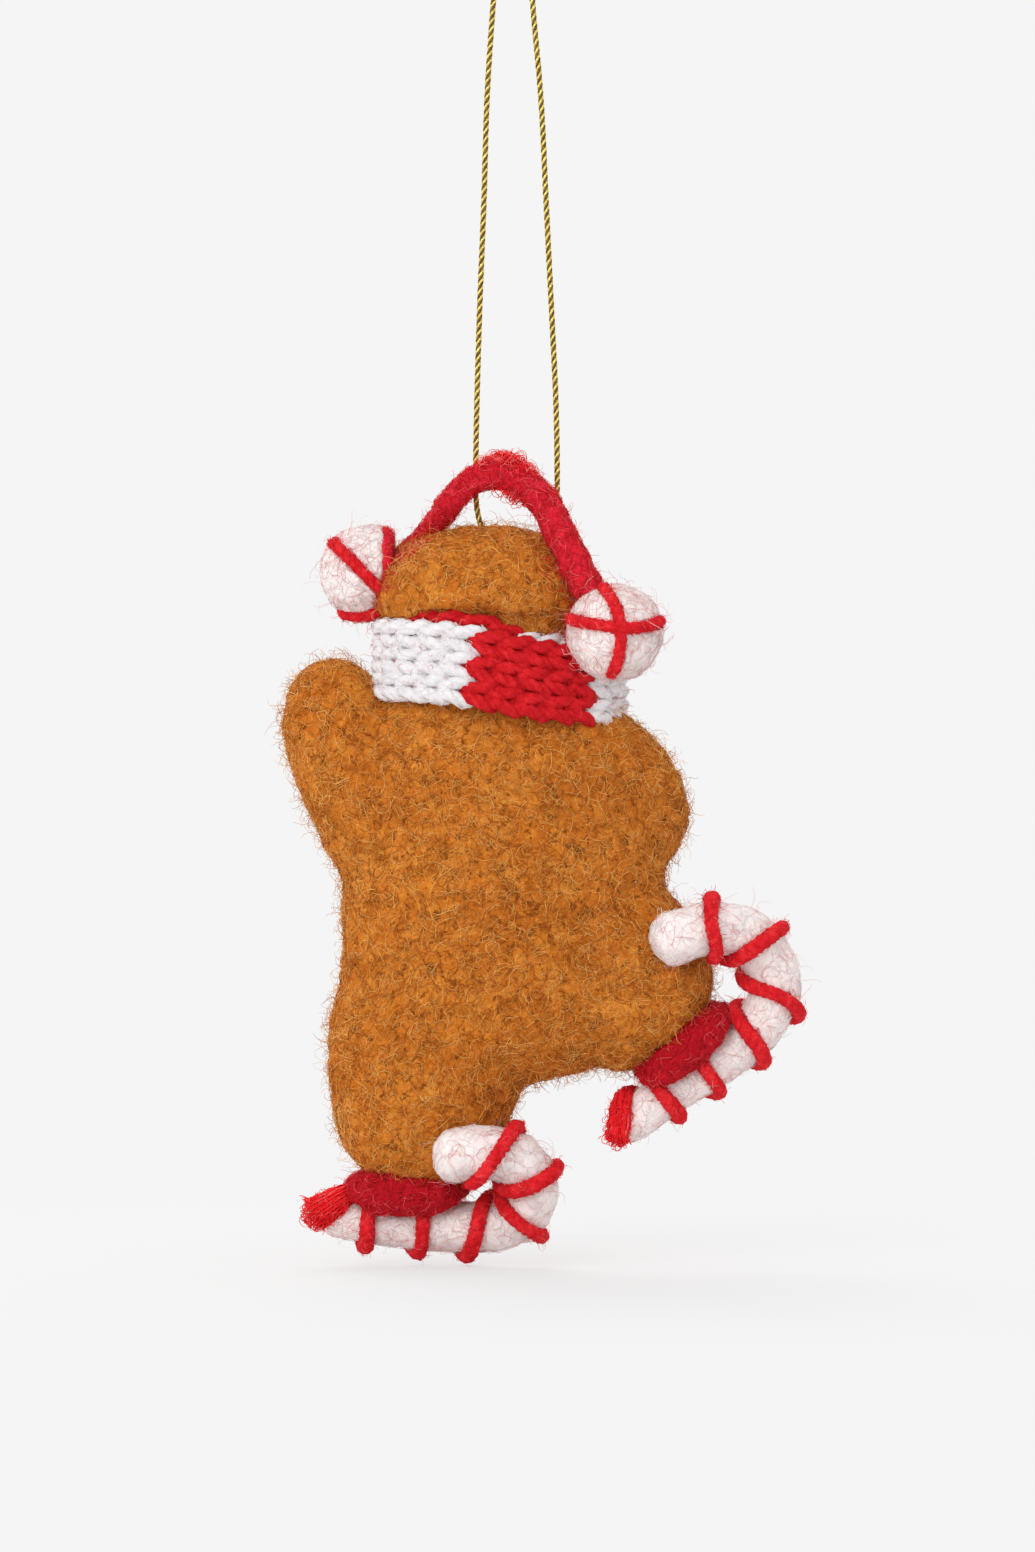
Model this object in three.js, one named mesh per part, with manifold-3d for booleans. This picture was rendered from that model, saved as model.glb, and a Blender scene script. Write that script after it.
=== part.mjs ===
// Gingerbread man ornament of needle-felted wool: a plump skating figure with peppermint earmuffs,
// a knitted scarf and candy-cane runners, hung on a loop of cord. Millimetres, +Z up, the face
// looking along -Y and the back along +Y. The origin is under the top of the cord's loop, where
// a hook carries it. Left and right are the figure's own, so left is towards +X.
import * as THREE from "three";
import { mergeVertices } from "three/addons/utils/BufferGeometryUtils.js";
import Module from "manifold-3d";

// Fits that several pieces share
const seatGap = 0.3;
const cutOverrun = 4;

// Torso
const torsoTop = -113.3;
const torsoMiddleX = 1.3;
const torsoHeight = 63.7;
const torsoHalfWidth = 25;
const torsoHalfDepth = 11.5;

// Head and neck
const headTop = -89.6;
const headMiddleX = 4;
const headHeight = 25;
const headHalfWidth = 17.9;
const headHalfDepth = 12;

// Arms and legs
const armHalfWidth = 8.6;
const armHalfDepth = 7.8;
const standingLegHalfWidth = 14.6;
const standingLegHalfDepth = 9.4;
const raisedLegHalfWidth = 9.8;
const raisedLegHalfDepth = 9.2;

// Scarf: one knitted strip that goes twice round the neck
const scarfWidth = 13.5;
const scarfThickness = 2.2;
const scarfMiddleX = 2.6;
const scarfMiddleZ = -112;
const scarfInnerHalfWidth = 16.2;
const scarfInnerHalfDepth = 10.9;
const scarfInnerLift = 2;
const scarfSlope = 0.07;
const scarfTailBend = 9;
const scarfTailLength = 20;
const scarfTailStandOff = 2;

// Earmuffs
const bandRadius = 2.1;
const bandWireRadius = 0.5;
const padRadius = 7.6;
const padYarnRadius = 0.6;

// Skates
const runnerLength = 40;
const caneRadius = 4.1;
const caneWireRadius = 0.6;
const caneYarnRadius = 0.7;
const yarnEndRadius = 1.9;
const bootHalfLength = 10;
const bootHalfHeight = 4.2;
const bootHalfDepth = 8.4;
const leftHeelOut = 15.8;
const leftHeelDrop = 6.91;
const rightHeelOut = 10.9;
const rightHeelDrop = 18.34;
const rightSkateTiltDegrees = 38.5;

// Face and front, which the felt carries
const eyeRadius = 1.5;
const eyeSpacing = 9.6;
const eyeDrop = 7.6;
const smileRadius = 4.2;
const smileThread = 0.5;
const smileDrop = 10.2;
const smileHalfArcDegrees = 50;
const buttonRadius = 2.2;
const buttonDepthShare = 0.7;
const buttonSpacing = 11.5;
const firstButtonDrop = 35.5;
const buttonCount = 2;

// Hanging cord: its free loop, from the left foot over the top to the right foot
const cordRadius = 0.475;
const cordFootGap = 0.8;
const knotRadius = 1.9;
const knotDrop = 13.5;
const cordRoute = [
  [5.3, 0, -88.8],
  [5.75, 0, -86.6],
  [5.95, 0, -84],
  [5.92, 0, -77.1],
  [5.76, 0, -69.1],
  [5.28, 0, -53.1],
  [4.64, 0, -37.1],
  [4.16, 0, -21.1],
  [3.36, 0, -8.3],
  [3.05, 0, -4.6],
  [2.75, 0, -2.3],
  [1.75, 0, -0.25],
  [0, 0, 0.475],
  [-1.75, 0, -0.25],
  [-2.75, 0, -2.3],
  [-3.05, 0, -4.6],
  [-3.36, 0, -8.3],
  [-4.48, 0, -21.1],
  [-5.28, 0, -37.1],
  [-6.08, 0, -53.1],
  [-6.85, 0, -69.1],
  [-7.05, 0, -78],
  [-7.05, 0, -85],
  [-6.98, 0, -88.6],
  [-6.9, 0, -91.1],
];

const wasm = await Module();
wasm.setup();

const backwards = new THREE.Vector3(0, 1, 0);
const upwards = new THREE.Vector3(0, 0, 1);

function felt(colour) {
  return new THREE.MeshStandardMaterial({ color: colour, roughness: 0.95, metalness: 0 });
}

const brownWool = felt(0xb26527);
const redWool = felt(0xca1c25);
const whiteWool = felt(0xefebec);
const bootWool = felt(0xa9081b);
const scarfYarn = felt(0xd9484f);
const goldCord = new THREE.MeshStandardMaterial({ color: 0xb08a3a, roughness: 0.4, metalness: 0.7 });
const steelWire = new THREE.MeshStandardMaterial({ color: 0x9a9a9a, roughness: 0.4, metalness: 1 });
const blackBead = new THREE.MeshStandardMaterial({ color: 0x111111, roughness: 0.15, metalness: 0 });

// The solid of a closed geometry, its shared corners merged.
function solidOf(geometry) {
  const bare = geometry.clone();
  bare.deleteAttribute("normal");
  bare.deleteAttribute("uv");
  const merged = mergeVertices(bare);
  return new wasm.Manifold(
    new wasm.Mesh({
      numProp: 3,
      vertProperties: merged.attributes.position.array,
      triVerts: new Uint32Array(merged.index.array),
    }),
  );
}

function geometryOf(solid) {
  const { vertProperties, triVerts } = solid.getMesh();
  const geometry = new THREE.BufferGeometry();
  geometry.setAttribute("position", new THREE.BufferAttribute(vertProperties, 3));
  geometry.setIndex(new THREE.BufferAttribute(triVerts, 1));
  geometry.computeVertexNormals();
  return geometry;
}

function cutBy(geometry, cutters) {
  return geometryOf(cutters.reduce((left, cutter) => left.subtract(solidOf(cutter)), solidOf(geometry)));
}

function joined(geometries) {
  return geometryOf(geometries.map(solidOf).reduce((all, next) => all.add(next)));
}

// The value of a table of [place, value] shares at a place, on one smooth curve.
function shareAt(table, place) {
  if (place <= table[0][0]) return table[0][1];
  const next = table.findIndex(([at]) => at >= place);
  if (next < 0) return table[table.length - 1][1];
  const slope = (i) => {
    const [before, after] = [table[Math.max(i - 1, 0)], table[Math.min(i + 1, table.length - 1)]];
    return (after[1] - before[1]) / (after[0] - before[0]);
  };
  const [[from, low], [to, high]] = [table[next - 1], table[next]];
  const span = to - from;
  const u = (place - from) / span;
  const rise = u * u * (3 - 2 * u);
  const leaving = u * (1 - u) * (1 - u) * span * slope(next - 1);
  const arriving = u * u * (u - 1) * span * slope(next);
  return low + (high - low) * rise + leaving + arriving;
}

// How much of its full size a section has near a rounded end: 0 at the tip, 1 past the cap.
function roundOff(distance, cap) {
  const inside = Math.min(distance / cap, 1);
  return Math.sqrt(1 - (1 - inside) ** 2);
}

// A closed skin over rings of points, drawn to a pole at each end, its faces pointing out.
function skin(rings, startPole, endPole) {
  const sides = rings[0].length;
  const points = [...rings.flat(), startPole, endPole];
  const start = points.length - 2;
  const last = (rings.length - 1) * sides;
  const faces = [];
  for (let s = 0; s < sides; s++) {
    const t = (s + 1) % sides;
    for (let ring = 0; ring < last; ring += sides)
      faces.push([ring + s, ring + t, ring + sides + t], [ring + s, ring + sides + t, ring + sides + s]);
    faces.push([start, t, s], [start + 1, last + s, last + t]);
  }
  const volume = faces.reduce(
    (sum, [a, b, c]) => sum + points[a].dot(points[b].clone().cross(points[c])),
    0,
  );
  if (volume < 0) faces.forEach((face) => face.reverse());
  const geometry = new THREE.BufferGeometry().setFromPoints(points);
  geometry.setIndex(faces.flat());
  geometry.computeVertexNormals();
  return geometry;
}

// The section's own axes at a share of a curve: along it, across it, and towards the back.
function axesAt(curve, share) {
  const along = curve.getTangentAt(share).normalize();
  const back = backwards.clone().addScaledVector(along, -backwards.dot(along)).normalize();
  return { along, across: back.clone().cross(along), back };
}

// A stuffed form: an ellipse carried along a spine, swelling and tapering by its shares, with
// rounded ends. A grown form is the same one larger by a gap all round, which cuts its neighbours.
function stuffed(form, gap = 0) {
  const { spine, halfWidth, halfDepth, rings, sides } = form;
  const { widthShares, depthShares, capShares } = form;
  const curve = new THREE.CatmullRomCurve3(spine);
  const ring = (share) => {
    const centre = curve.getPointAt(share);
    const { across, back } = axesAt(curve, share);
    const round = roundOff(share, capShares[0]) * roundOff(1 - share, capShares[1]);
    const wide = halfWidth * shareAt(widthShares, share) * round + gap;
    const deep = halfDepth * shareAt(depthShares, share) * round + gap;
    return Array.from({ length: sides }, (_, s) => {
      const angle = (2 * Math.PI * s) / sides;
      return centre
        .clone()
        .addScaledVector(across, wide * Math.cos(angle))
        .addScaledVector(back, deep * Math.sin(angle));
    });
  };
  const stations = Array.from({ length: rings }, (_, i) => {
    const turn = (Math.PI * (i + 1)) / (rings + 1);
    return (1 - Math.cos(turn)) / 2;
  });
  const pole = (share, way) =>
    curve.getPointAt(share).addScaledVector(axesAt(curve, share).along, way * gap);
  return skin(stations.map(ring), pole(0, -1), pole(1, 1));
}

const evenShares = [
  [0, 1],
  [1, 1],
];
const bandWireShares = [0.04, 0.96];
const caneWireShares = [0.05, 0.91];
const boreEndShare = 0.01;
const wireSteps = 16;
const wireSides = 6;

// A tube of constant radius along a curve, cut square at its ends.
function tube(curve, radius, steps, sides) {
  const corners = Array.from({ length: sides }, (_, s) => {
    const angle = (2 * Math.PI * s) / sides;
    return new THREE.Vector2(radius * Math.cos(angle), radius * Math.sin(angle));
  });
  return new THREE.ExtrudeGeometry(new THREE.Shape(corners), {
    steps,
    extrudePath: curve,
    bevelEnabled: false,
  });
}

// The wire in a felt core lies between two shares of its curve. Its bore is wider by a gap, goes
// a little further, and runs out straight past its start.
function wireIn(curve, [from, to], radius) {
  return tube(stretch(curve, from, to), radius, wireSteps, wireSides);
}

function boreIn(curve, [from, to], radius) {
  const points = stretch(curve, from, to + boreEndShare).points;
  points.unshift(points[0].clone().addScaledVector(curve.getTangentAt(from), -cutOverrun));
  return tube(new THREE.CatmullRomCurve3(points), radius + seatGap, wireSteps, wireSides);
}

function stretch(curve, from, to) {
  const samples = 24;
  const shareOf = (i) => from + ((to - from) * i) / samples;
  const points = Array.from({ length: samples + 1 }, (_, i) => curve.getPointAt(shareOf(i)));
  return new THREE.CatmullRomCurve3(points);
}

// The least gap between stretches of a tube that are more than half a turn apart, on its points.
function leastGap(points, radius, apart) {
  let least = Infinity;
  for (let i = 0; i < points.length; i++)
    for (let j = i + apart; j < points.length; j++)
      least = Math.min(least, points[i].distanceTo(points[j]) - 2 * radius);
  return least;
}

function piece(name, geometry, material) {
  const mesh = new THREE.Mesh(geometry, material);
  mesh.name = name;
  return mesh;
}

// Places on the figure are shares of the torso: across from its middle, and down from its top.
function onTorso([acrossShare, downShare, backShare = 0]) {
  return new THREE.Vector3(
    torsoMiddleX + acrossShare * torsoHalfWidth,
    backShare * torsoHalfDepth,
    torsoTop - downShare * torsoHeight,
  );
}

// Places round the head: across from its middle, back from its middle, and up from its top.
function onHead([acrossShare, backShare, upShare]) {
  return new THREE.Vector3(
    headMiddleX + acrossShare * headHalfWidth,
    backShare * headHalfDepth,
    headTop + upShare * headHeight,
  );
}

// The felted figure
const torsoSpineShares = [
  [0.02, 0, 0],
  [0, 0.35, -0.03],
  [0.02, 0.7, -0.04],
  [-0.02, 1.01, 0],
];
const torsoForm = {
  spine: torsoSpineShares.map(onTorso),
  halfWidth: torsoHalfWidth,
  halfDepth: torsoHalfDepth,
  widthShares: [
    [0, 0.56],
    [0.06, 0.73],
    [0.14, 0.83],
    [0.25, 0.94],
    [0.5, 0.99],
    [0.66, 0.98],
    [0.85, 1.02],
    [1, 0.9],
  ],
  depthShares: [
    [0, 0.72],
    [0.1, 0.76],
    [0.2, 0.93],
    [0.45, 1],
    [0.7, 0.98],
    [1, 0.8],
  ],
  capShares: [0.04, 0.16],
  rings: 18,
  sides: 20,
};
const headForm = {
  spine: [0, 0.5, 1].map((share) => new THREE.Vector3(headMiddleX, 0, headTop - share * headHeight)),
  halfWidth: headHalfWidth,
  halfDepth: headHalfDepth,
  widthShares: [
    [0, 1],
    [0.46, 1],
    [0.6, 0.96],
    [0.75, 0.86],
    [1, 0.8],
  ],
  depthShares: [
    [0, 1],
    [0.46, 1],
    [0.6, 0.95],
    [0.75, 0.83],
    [1, 0.76],
  ],
  capShares: [0.46, 0.1],
  rings: 13,
  sides: 18,
};
const armWidthShares = [
  [0, 1.1],
  [0.5, 1.02],
  [0.75, 1],
  [1, 1],
];
const armDepthShares = [
  [0, 0.7],
  [0.5, 0.94],
  [0.75, 1],
  [1, 1],
];
const armForm = {
  halfWidth: armHalfWidth,
  halfDepth: armHalfDepth,
  widthShares: armWidthShares,
  depthShares: armDepthShares,
  capShares: [0.2, 0.3],
  rings: 9,
  sides: 14,
};
const leftArmSpineShares = [
  [0.5, 0.58, 0.05],
  [0.8, 0.36, 0],
  [1.03, 0.16, -0.12],
  [1.17, -0.03, -0.3],
];
const rightArmSpineShares = [
  [-0.1, 0.17, 0.05],
  [-0.39, 0.18, 0],
  [-0.68, 0.26, -0.15],
  [-0.98, 0.46, -0.4],
];
const leftArmForm = { ...armForm, spine: leftArmSpineShares.map(onTorso) };
const rightArmForm = { ...armForm, spine: rightArmSpineShares.map(onTorso), capShares: [0.2, 0.34] };
const standingLegSpineShares = [
  [0.42, 0.72],
  [0.5, 0.96],
  [0.56, 1.12],
  [0.66, 1.27],
];
const standingLegForm = {
  spine: standingLegSpineShares.map(onTorso),
  halfWidth: standingLegHalfWidth,
  halfDepth: standingLegHalfDepth,
  widthShares: [
    [0, 1],
    [0.35, 1.04],
    [0.55, 0.98],
    [0.8, 0.82],
    [1, 0.7],
  ],
  depthShares: [
    [0, 1],
    [0.5, 1],
    [1, 0.88],
  ],
  capShares: [0.2, 0.18],
  rings: 11,
  sides: 16,
};
const raisedLegSpineShares = [
  [-0.42, 0.6],
  [-0.66, 0.722],
  [-0.9, 0.82],
  [-1.12, 0.902],
];
const raisedLegForm = {
  spine: raisedLegSpineShares.map(onTorso),
  halfWidth: raisedLegHalfWidth,
  halfDepth: raisedLegHalfDepth,
  widthShares: [
    [0, 1.3],
    [0.45, 1.42],
    [0.75, 1.19],
    [1, 1],
  ],
  depthShares: [
    [0, 1.05],
    [0.5, 1.02],
    [1, 0.92],
  ],
  capShares: [0.2, 0.2],
  rings: 10,
  sides: 16,
};

// The scarf's path: a tail, two turns that climb outwards a layer each, and the other tail
const scarfSectionShares = [
  [0.5, 0.2],
  [0.46, 0.5],
  [-0.46, 0.5],
  [-0.5, 0.2],
  [-0.5, -0.2],
  [-0.46, -0.5],
  [0.46, -0.5],
  [0.5, -0.2],
];
const scarfLayer = scarfThickness + seatGap;
const scarfStartDegrees = 20;
const scarfEndDegrees = 700;
const scarfClimbDegrees = [
  [255, 318],
  [610, 670],
];
const scarfStepDegrees = 12;
const tailSplayDegrees = 78;
const tailSteps = 6;

function scarfLayerAt(degrees) {
  const climb = ([from, to]) => THREE.MathUtils.smoothstep(degrees, from, to);
  return scarfClimbDegrees.reduce((sum, span) => sum + climb(span), 0);
}

function scarfTurnAt(degrees) {
  const angle = THREE.MathUtils.degToRad(degrees);
  const layer = scarfLayerAt(degrees);
  const wide = scarfInnerHalfWidth + layer * scarfLayer;
  const deep = scarfInnerHalfDepth + layer * scarfLayer;
  const x = wide * Math.sin(angle);
  const centre = new THREE.Vector3(
    scarfMiddleX + x,
    -deep * Math.cos(angle),
    scarfMiddleZ + scarfSlope * x + scarfInnerLift * (1 - layer),
  );
  const out = new THREE.Vector3(Math.sin(angle) / wide, -Math.cos(angle) / deep, 0).normalize();
  return { centre, out };
}

// A tail leaves the neck sideways, bends down in its own plane and hangs before the chest.
function scarfTail(degrees, side, standOff) {
  const { centre: root, out: rootOut } = scarfTurnAt(degrees);
  const forward = backwards.clone().negate();
  const splay = THREE.MathUtils.degToRad(tailSplayDegrees);
  const bent = (angle) =>
    new THREE.Vector3(side * scarfTailBend * Math.sin(angle), 0, -scarfTailBend * (1 - Math.cos(angle)));
  const down = new THREE.Vector3(side * Math.cos(splay), 0, -Math.sin(splay));
  return Array.from({ length: 2 * tailSteps }, (_, i) => {
    const turn = Math.min((i + 1) / tailSteps, 1);
    const drop = Math.max((i + 1) / tailSteps - 1, 0);
    const centre = root.clone().add(bent(turn * splay)).addScaledVector(down, drop * scarfTailLength);
    centre.y -= standOff * THREE.MathUtils.smoothstep(root.z - centre.z, scarfTailBend / 2, scarfWidth);
    const out = rootOut.clone().lerp(forward, turn).normalize();
    return { centre, out };
  });
}

const scarfSteps = Math.floor((scarfEndDegrees - scarfStartDegrees) / scarfStepDegrees);
const scarfTurns = Array.from({ length: scarfSteps + 1 }, (_, i) =>
  scarfTurnAt(scarfStartDegrees + i * scarfStepDegrees),
);
const scarfPath = [
  ...scarfTail(scarfStartDegrees, -1, scarfTailStandOff).reverse(),
  ...scarfTurns,
  ...scarfTail(scarfStartDegrees + scarfSteps * scarfStepDegrees, 1, 0),
];
const scarfLength = scarfPath.reduce(
  (sum, { centre }, i) => sum + (i ? centre.distanceTo(scarfPath[i - 1].centre) : 0),
  0,
);
console.log(`scarf cut ${scarfLength.toFixed(1)} by ${scarfWidth} mm`);

function scarfStrip(gap) {
  const rings = scarfPath.map(({ centre, out }, i) => {
    const before = scarfPath[Math.max(i - 1, 0)].centre;
    const after = scarfPath[Math.min(i + 1, scarfPath.length - 1)].centre;
    const along = after.clone().sub(before).normalize();
    const up = out.clone().cross(along).normalize();
    return scarfSectionShares.map(([upShare, outShare]) =>
      centre
        .clone()
        .addScaledVector(up, upShare * (scarfWidth + 2 * gap))
        .addScaledVector(out, outShare * (scarfThickness + 2 * gap)),
    );
  });
  const end = (at) => scarfPath.at(at).centre.clone();
  return skin(rings, end(0), end(-1));
}

const torsoGrown = stuffed(torsoForm, seatGap);
const headGrown = stuffed(headForm, seatGap);
const scarfGrown = scarfStrip(seatGap);

// Cord inside the head: a knot that can't pull through, and the two strands that rise from it
const cordFeet = [cordRoute[0], cordRoute.at(-1)].map(([x, y, z]) => new THREE.Vector3(x, y, z));
const knotPlace = cordFeet[0].clone().lerp(cordFeet[1], 0.5).setZ(headTop - knotDrop);

function cordKnot(gap) {
  const strands = cordFeet.map((foot) => {
    const way = foot.clone().sub(knotPlace).normalize();
    const top = foot.clone().addScaledVector(way, gap > 0 ? cutOverrun : -cordFootGap);
    const rise = new THREE.LineCurve3(knotPlace, top);
    return tube(rise, cordRadius + gap, 2, 8);
  });
  const knot = new THREE.SphereGeometry(knotRadius + gap, 12, 8);
  knot.translate(knotPlace.x, knotPlace.y, knotPlace.z);
  return joined([knot, ...strands]);
}

// Earmuff band: an arch that starts before the head's left side and ends behind its right side
const bandSpineShares = [
  [0.83, -0.62, -0.22],
  [0.7, -0.62, -0.13],
  [0.59, -0.55, -0.065],
  [0.45, -0.22, 0.05],
  [0.31, 0.18, 0.18],
  [0.12, 0.33, 0.3],
  [-0.08, 0.36, 0.33],
  [-0.25, 0.37, 0.3],
  [-0.39, 0.4, 0.24],
  [-0.51, 0.44, 0.14],
  [-0.6, 0.5, 0.02],
  [-0.69, 0.66, -0.12],
  [-0.8, 0.87, -0.28],
  [-0.93, 0.94, -0.44],
];
const bandCurve = new THREE.CatmullRomCurve3(bandSpineShares.map(onHead));
const bandForm = {
  spine: bandCurve.points,
  halfWidth: bandRadius,
  halfDepth: bandRadius,
  widthShares: [
    [0, 0.85],
    [0.4, 0.95],
    [0.6, 1.12],
    [1, 1.1],
  ],
  depthShares: [
    [0, 0.85],
    [0.4, 0.92],
    [0.6, 1.02],
    [1, 1.05],
  ],
  capShares: [0.02, 0.02],
  rings: 20,
  sides: 10,
};
const bandGrown = stuffed(bandForm, seatGap);

// Peppermint pads: felt balls that rest on the head and scarf, flat on the side that backs them,
// each with two crossed lines of yarn whose points are shares of the ball's radius
const pads = [
  {
    side: "left",
    centre: onHead([1.08, -0.33, -0.28]),
    backShares: [-0.97, -0.2, 0],
    flatShare: 0.53,
    lineShares: [
      [
        [0.66, 0.3, 0.69],
        [0.53, 0.67, 0.5],
        [0.3, 0.92, 0.24],
        [0.05, 1, -0.06],
        [-0.1, 0.93, -0.34],
      ],
      [
        [-0.1, 0.93, -0.34],
        [-0.09, 0.77, -0.63],
        [0.02, 0.5, -0.87],
        [0.3, 0.33, -0.9],
        [0.6, 0.12, -0.79],
      ],
    ],
  },
  {
    side: "right",
    centre: onHead([-1.12, 0.92, -0.68]),
    backShares: [0.6, -0.8, 0],
    flatShare: 0.9,
    lineShares: [
      [
        [0.93, 0.22, 0.29],
        [0.78, 0.58, 0.22],
        [0.47, 0.87, 0.15],
        [-0.11, 0.99, 0.07],
        [-0.57, 0.82, 0.09],
        [-0.86, 0.48, 0.18],
        [-0.95, 0.16, 0.27],
      ],
      [
        [0.26, 0.24, 0.93],
        [0.15, 0.59, 0.79],
        [0.02, 0.83, 0.56],
        [-0.11, 0.99, 0.07],
        [-0.09, 0.92, -0.38],
        [0, 0.68, -0.73],
        [0.13, 0.34, -0.93],
      ],
    ],
  },
];

function padBall({ centre, backShares, flatShare }) {
  const ball = new THREE.SphereGeometry(padRadius, 18, 12);
  const past = new THREE.BoxGeometry(2 * padRadius, 2 * padRadius, padRadius);
  past.translate(0, 0, (flatShare + 1 / 2) * padRadius);
  const back = new THREE.Vector3(...backShares).normalize();
  past.applyQuaternion(new THREE.Quaternion().setFromUnitVectors(upwards, back));
  for (const form of [ball, past]) form.translate(centre.x, centre.y, centre.z);
  return cutBy(ball, [past, headGrown, scarfGrown, bandGrown]);
}

function padYarn({ centre, lineShares }) {
  const distance = padRadius + seatGap + padYarnRadius;
  const lines = lineShares.map((shares) => {
    const ways = shares.map((way) => new THREE.Vector3(...way).normalize());
    const points = ways.map((way) => centre.clone().addScaledVector(way, distance));
    return tube(new THREE.CatmullRomCurve3(points), padYarnRadius, 12, 6);
  });
  return cutBy(joined(lines), [headGrown, scarfGrown, bandGrown]);
}

// Skates. A skate's own axes: X towards the heel, Z from the runner up to the sole, Y backwards.
// Its heel lies out and down from the end of the leg that wears it.
const leftCaneSpineShares = [
  [0.05, 0.055, 0],
  [0.2, 0.024, 0],
  [0.4, 0.004, 0],
  [0.6, -0.008, 0.01],
  [0.76, 0, 0.04],
  [0.875, 0.05, 0.085],
  [0.915, 0.155, 0.14],
  [0.865, 0.265, 0.2],
  [0.73, 0.305, 0.26],
  [0.53, 0.28, 0.31],
];
const rightCaneSpineShares = [
  [0.045, 0.034, 0],
  [0.3, 0.04, 0],
  [0.535, 0.02, 0.01],
  [0.74, 0.02, 0.03],
  [0.9, 0.09, 0.06],
  [0.963, 0.22, 0.1],
  [0.95, 0.353, 0.16],
  [0.863, 0.45, 0.22],
  [0.77, 0.5, 0.27],
  [0.64, 0.545, 0.31],
];
const skates = [
  {
    side: "left",
    heel: [leftHeelOut, leftHeelDrop],
    tilt: 0,
    caneShares: leftCaneSpineShares,
    bootShares: [0.41, 0.125],
    turnShares: [
      [0, 0.005],
      [0.22, 0.08],
      [0.75, 0.143],
      [1.25, 0.155],
      [1.75, 0.285],
      [2.25, 0.304],
      [2.75, 0.41],
      [3.25, 0.5],
      [3.75, 0.573],
      [4.25, 0.61],
      [4.75, 0.7],
      [5.25, 0.725],
      [5.75, 0.795],
      [6.25, 0.92],
    ],
    leg: standingLegForm,
  },
  {
    side: "right",
    heel: [rightHeelOut, rightHeelDrop],
    tilt: rightSkateTiltDegrees,
    caneShares: rightCaneSpineShares,
    bootShares: [0.485, 0.13],
    turnShares: [
      [0, 0.005],
      [0.22, 0.08],
      [0.75, 0.159],
      [1.25, 0.17],
      [1.75, 0.281],
      [2.25, 0.296],
      [2.75, 0.405],
      [3.25, 0.461],
      [3.75, 0.524],
      [4.25, 0.616],
      [4.75, 0.687],
      [5.25, 0.775],
      [5.75, 0.835],
      [6, 0.875],
      [6.25, 0.84],
    ],
    leg: raisedLegForm,
  },
];

function alongRunner([toeShare, upShare, backShare = 0]) {
  return new THREE.Vector3(-toeShare * runnerLength, backShare * runnerLength, upShare * runnerLength);
}

function caneForm(skate) {
  return {
    spine: skate.caneShares.map(alongRunner),
    halfWidth: caneRadius,
    halfDepth: caneRadius,
    widthShares: [
      [0, 0.72],
      [0.12, 0.84],
      [0.3, 0.94],
      [0.6, 1],
      [1, 1.02],
    ],
    depthShares: evenShares,
    capShares: [0.07, 0.055],
    rings: 22,
    sides: 12,
  };
}

const yarnStepsPerTurn = 18;
const yarnSides = 6;
const yarnFirstTurn = 0;
const yarnLastTurn = 6.3;
const yarnSwellTurns = 0.17;
const yarnEaseShare = 0.025;
const yarnLooseTurns = 0.5;
const yarnApartTurns = 0.6;

// Red yarn wound round the cane in one unbroken tube, its first end loose and swollen.
function caneYarn(skate) {
  const form = caneForm(skate);
  const curve = new THREE.CatmullRomCurve3(form.spine);
  const count = Math.round((yarnLastTurn - yarnFirstTurn) * yarnStepsPerTurn);
  const centres = [];
  const rings = [];
  for (let i = 0; i <= count; i++) {
    const turn = yarnFirstTurn + i / yarnStepsPerTurn;
    const share = shareAt(skate.turnShares, turn);
    const { across, back } = axesAt(curve, share);
    const [startCap, endCap] = form.capShares;
    const round = roundOff(share + yarnEaseShare, startCap) * roundOff(1 - share, endCap);
    const swollen = 1 - THREE.MathUtils.smoothstep(turn, yarnFirstTurn, yarnFirstTurn + yarnSwellTurns);
    const radius = THREE.MathUtils.lerp(caneYarnRadius, yarnEndRadius, swollen);
    const wide = caneRadius * shareAt(form.widthShares, share) * round + seatGap + radius;
    const deep = caneRadius * round + seatGap + radius;
    const angle = 2 * Math.PI * turn;
    const outX = across.clone().multiplyScalar(Math.sin(angle));
    const outY = back.clone().multiplyScalar(Math.cos(angle));
    const centre = curve.getPointAt(share).addScaledVector(outX, wide).addScaledVector(outY, deep);
    centres.push({ centre, out: outX.add(outY).normalize(), radius });
  }
  centres.forEach(({ centre, out, radius }, i) => {
    const before = centres[Math.max(i - 1, 0)].centre;
    const after = centres[Math.min(i + 1, count)].centre;
    const side = after.clone().sub(before).normalize().cross(out).normalize();
    rings.push(
      Array.from({ length: yarnSides }, (_, s) => {
        const angle = (2 * Math.PI * s) / yarnSides;
        return centre
          .clone()
          .addScaledVector(out, radius * Math.cos(angle))
          .addScaledVector(side, radius * Math.sin(angle));
      }),
    );
  });
  const loose = Math.round(yarnStepsPerTurn * yarnLooseTurns);
  const thin = centres.slice(loose).map(({ centre }) => centre);
  const gap = leastGap(thin, caneYarnRadius, Math.round(yarnStepsPerTurn * yarnApartTurns));
  console.log(`runner_yarn_${skate.side}: least gap to itself ${gap.toFixed(2)} mm`);
  return skin(rings, centres[0].centre, centres[count].centre);
}

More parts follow.
